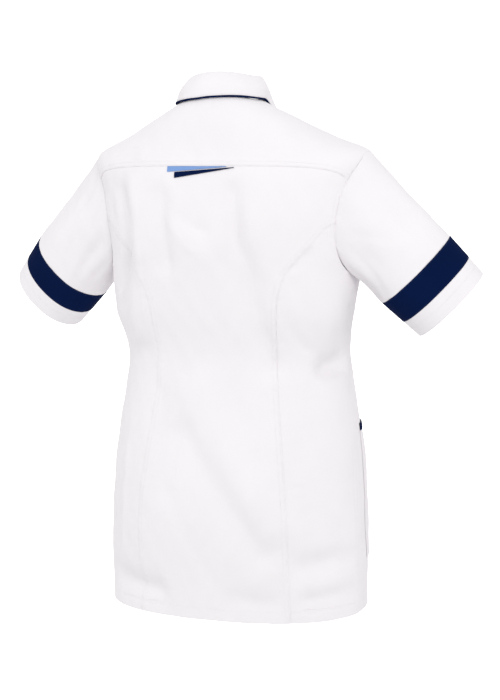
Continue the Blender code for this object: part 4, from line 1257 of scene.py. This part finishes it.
def button_mesh():
    """A turned disc with a rim, its profile spun round the axis, and four round holes cut through it."""
    angle = np.linspace(0, 2 * math.pi, BUTTON_SIDES, endpoint=False)
    ring = np.stack([np.cos(angle), np.sin(angle)], -1)
    points = np.stack([
        np.column_stack([ring * radius, np.full(BUTTON_SIDES, height)]) for radius, height in BUTTON_PROFILE
    ])
    disc = placed("button_blank", mesh_of("button", points, turned_faces(len(BUTTON_PROFILE), BUTTON_SIDES)))
    cutters = []
    for hole_x, hole_y in ((1, 1), (-1, 1), (-1, -1), (1, -1)):
        bpy.ops.mesh.primitive_cylinder_add(
            vertices=HOLE_SIDES, radius=HOLE_RADIUS * MM, depth=HOLE_DEPTH * MM,
            location=(hole_x * HOLE_OFFSET * MM, hole_y * HOLE_OFFSET * MM, 0),
        )
        cutter = bpy.context.object
        cut = disc.modifiers.new("hole", "BOOLEAN")
        cut.object = cutter
        cut.operation = "DIFFERENCE"
        cutters.append(cutter)
    bpy.context.view_layer.update()
    evaluated = disc.evaluated_get(bpy.context.evaluated_depsgraph_get())
    finished_mesh = bpy.data.meshes.new_from_object(evaluated)
    for used in [disc, *cutters]:
        bpy.data.objects.remove(used, do_unlink=True)
    return finished_mesh


front_outer, front_out = fronts["right"]["outer"], fronts["right"]["normals"]
centre_places = np.arange(len(front_outer)), np.abs(front_outer[..., 0]).argmin(1)
order = np.argsort(front_outer[centre_places][:, 2])
centre_line = front_outer[centre_places][order]
centre_out = front_out[centre_places][order]


def on_centre(levels):
    """Points, outward normals and upward directions of the right front's cloth on the centre line."""
    points = read_at(levels, centre_line[:, 2], centre_line)
    points[..., 0] = 0
    out = unit(read_at(levels, centre_line[:, 2], centre_out))
    up = unit(np.array([0.0, 0.0, 1.0]) - out[..., 2:] * out)
    return points, out, up


blank = button_mesh()
button_levels = np.linspace(BUTTON_TOP_Z, BUTTON_BOTTOM_Z, BUTTON_COUNT)
button_spots, button_outs, button_ups = on_centre(button_levels)
for number, (spot, out) in enumerate(zip(button_spots, button_outs), 1):
    turned = Vector(out).to_track_quat("Z", "Y").to_matrix().to_4x4()
    mesh = blank.copy()
    mesh.transform(Matrix.Translation(Vector((spot + out * BUTTON_LIFT) * MM)) @ turned)
    mesh.shade_smooth()
    mesh.set_sharp_from_angle(angle=SHARP_ANGLE)
    piece = placed(f"shirt_button_{number}", mesh)
    finished(piece, button_finish, (f"button_{number}",))

# The sewing: rows of lockstitches along the seams, hems, bands, pockets and front edges.
# Each stitch is a small four-sided bead of thread, pointed at both ends, on the cloth's own surface.
STITCH_PITCH = 3.0
STITCH_LENGTH = 2.4
THREAD = 0.17
THREAD_SHADE = 0.85
THREAD_FIBRE_SCALE = 1500
THREAD_PROUD = 0.08
STITCH_REACH = 0.8

# How far inside an edge the rows of stitches lie: on seams and yoke, pockets, collar and front edges
EDGE_ROW = 1.6
SECOND_ROW = 6.5
PRINCESS_ROW = 7.0
FACING_ROW = 28.0
HEM_ROW = HEM_TURNING - 2
FRONT_ROW = 1.8
POCKET_STRIP_ROW = 1.4
FLASH_ROW = 1.0

# A bead: the place of its ten points along it, their places across it and its faces
BEAD_PLACES = np.array([-0.5] + [-0.38] * 4 + [0.38] * 4 + [0.5])
BEAD_RING = [[1, 0], [0, 1], [-1, 0], [0, -1]]
BEAD_RINGS = np.array([[0, 0]] + BEAD_RING * 2 + [[0, 0]], float)
BEAD_FACES = np.array(
    [[0, 1, 2], [0, 2, 3], [0, 3, 4], [0, 4, 1], [9, 6, 5], [9, 7, 6], [9, 8, 7], [9, 5, 8]]
    + [[1, 5, 6], [1, 6, 2], [2, 6, 7], [2, 7, 3], [3, 7, 8], [3, 8, 4], [4, 8, 5], [4, 5, 1]]
)


def thread_finish(name, colour):
    """Spun thread: fine noise between a colour and a shade of it, and a little gloss."""
    shade = [THREAD_SHADE * value for value in colour]
    return clouded(name, shade, colour, THREAD_FIBRE_SCALE, {"Roughness": 0.6, "Specular IOR Level": 0.3})


white_thread = thread_finish("white_thread", (0.86, 0.84, 0.86))
navy_thread = thread_finish("navy_thread", (0.012, 0.025, 0.10))


def beads(name, middle, run, out, length, radius, finish):
    """Joined beads of thread, each with its middle, its direction and the cloth's outward normal."""
    across = np.cross(run, out)
    offset = BEAD_RINGS[None, :, :1] * out[:, None] + BEAD_RINGS[None, :, 1:] * across[:, None]
    points = middle[:, None] + run[:, None] * BEAD_PLACES[None, :, None] * length + offset * radius
    faces = BEAD_FACES[None] + (np.arange(len(middle)) * len(BEAD_PLACES))[:, None, None]
    mesh = mesh_of(name, points, faces.reshape(-1, 3).tolist())
    faced_out(mesh)
    return finished(placed(name, mesh), finish)


def line_in(panel_data, edge, distance):
    """The points and normals of a panel that lie at a distance inside one of its edges."""
    away = panel_data["away"][edge]
    outer, normals = panel_data["outer"], panel_data["normals"]
    if edge in ("bottom", "top"):
        away, outer, normals = away.T, np.swapaxes(outer, 0, 1), np.swapaxes(normals, 0, 1)
    if away[0, 0] > away[0, -1]:
        away, outer, normals = away[:, ::-1], outer[:, ::-1], normals[:, ::-1]
    before = np.clip((away <= distance).sum(1) - 1, 0, away.shape[1] - 2)
    rows = np.arange(len(away))
    share = (distance - away[rows, before]) / (away[rows, before + 1] - away[rows, before])
    share = np.clip(share, 0, 1)[:, None]
    points = outer[rows, before] * (1 - share) + outer[rows, before + 1] * share
    return points, unit(normals[rows, before] * (1 - share) + normals[rows, before + 1] * share)


def sewn(name, lines, finish, skip=0.0):
    """Rows of stitches along lines of points: one bead a pitch, its ends pulled into the cloth."""
    middles, runs, outs = [], [], []
    for points, normals in lines:
        run = run_of(points, 0)
        places = np.arange(skip + STITCH_PITCH / 2, run[-1] - skip, STITCH_PITCH)
        ahead = read_at(places + STITCH_REACH, run, points)
        behind = read_at(places - STITCH_REACH, run, points)
        middles.append((ahead + behind) / 2)
        runs.append(unit(ahead - behind))
        outs.append(unit(read_at(places, run, normals)))
    middle, run, out = np.vstack(middles), np.vstack(runs), np.vstack(outs)
    out = unit(out - (out * run).sum(-1, keepdims=True) * run)
    return beads(name, middle + out * THREAD_PROUD, run, out, STITCH_LENGTH, THREAD, finish)


def closed_line(line):
    """A line round a tube, with its first point again at its end."""
    return tuple(np.vstack([part, part[:1]]) for part in line)


for piece_name, lines in (
    ("stitches_back",
     [line_in(yoke, "bottom", away) for away in (EDGE_ROW, SECOND_ROW)]
     + [line_in(centre, edge, away) for away in (EDGE_ROW, PRINCESS_ROW) for edge in ("left", "right")]
     + [line_in(part, "bottom", HEM_ROW) for part in (centre, *side_panels.values())]),
    ("stitches_fronts",
     [line_in(fronts[side], "bottom", HEM_ROW) for side in fronts]
     + [line_in(fronts[side], side, away) for side in fronts for away in (FRONT_ROW, FACING_ROW)]),
    ("stitches_pockets",
     [line_in(pockets[side], edge, away) for side in pockets for edge in ("left", "right", "bottom")
      for away in (EDGE_ROW, SECOND_ROW)]),
    ("stitches_sleeves",
     [closed_line(line_in(cuffs[side], "bottom", HEM_ROW)) for side in cuffs]),
):
    sewn(piece_name, lines, white_thread)
sewn(
    "stitches_bands",
    [closed_line(line_in(bands[side], edge, EDGE_ROW)) for side in bands for edge in ("top", "bottom")]
    + [line_in(pocket_strips[side], "bottom", POCKET_STRIP_ROW) for side in pocket_strips]
    + [line_in(flashes["navy"], "bottom", FLASH_ROW)],
    navy_thread,
)

# Buttonholes: close stitches across both lips of an upright slot, and bars over its two ends.
# A cross of thread in each button's holes holds it to the left front.
BUTTONHOLE_HALF = 10.0
BUTTONHOLE_PITCH = 0.5
LIP = 0.85
LIP_STITCH = 1.5
BAR_STITCH = 3.4
BAR_PLACES = (-10.6, -10.1, 10.1, 10.6)
CROSS_LENGTH = 4.3
CROSS_THREAD = 0.35
CROSS_HEIGHT = 1.85
BUTTONHOLE_THREAD = 0.22
BUTTONHOLE_PROUD = 0.1

lip_places = np.arange(-BUTTONHOLE_HALF, BUTTONHOLE_HALF + BUTTONHOLE_PITCH / 2, BUTTONHOLE_PITCH)
lips, lip_out, lip_up = on_centre((button_levels[:, None] + lip_places).ravel())
lip_across = np.cross(lip_up, lip_out)
bars, bar_out, bar_up = on_centre((button_levels[:, None] + np.array(BAR_PLACES)).ravel())
for piece_name, middle, run, out, length in (
    ("buttonhole_lips", np.vstack([lips - lip_across * LIP, lips + lip_across * LIP]),
     np.vstack([lip_across] * 2), np.vstack([lip_out] * 2), LIP_STITCH),
    ("buttonhole_bars", bars, np.cross(bar_up, bar_out), bar_out, BAR_STITCH),
):
    middle = middle + out * BUTTONHOLE_PROUD
    beads(piece_name, middle, run, out, length, BUTTONHOLE_THREAD, white_thread)
button_across = np.cross(button_ups, button_outs)
beads(
    "button_threads",
    np.vstack([button_spots + button_outs * (BUTTON_LIFT + CROSS_HEIGHT)] * 2),
    unit(np.vstack([button_across + button_ups, button_across - button_ups])),
    np.vstack([button_outs] * 2),
    CROSS_LENGTH, CROSS_THREAD, white_thread,
)

leaf_data = {"outer": leaf_outer, "normals": leaf_normals, "away": leaf_away}
sewn(
    "stitches_collar",
    [line_in(leaf_data, edge, FRONT_ROW) for edge in ("bottom", "left", "right")],
    white_thread, skip=3.0,
)
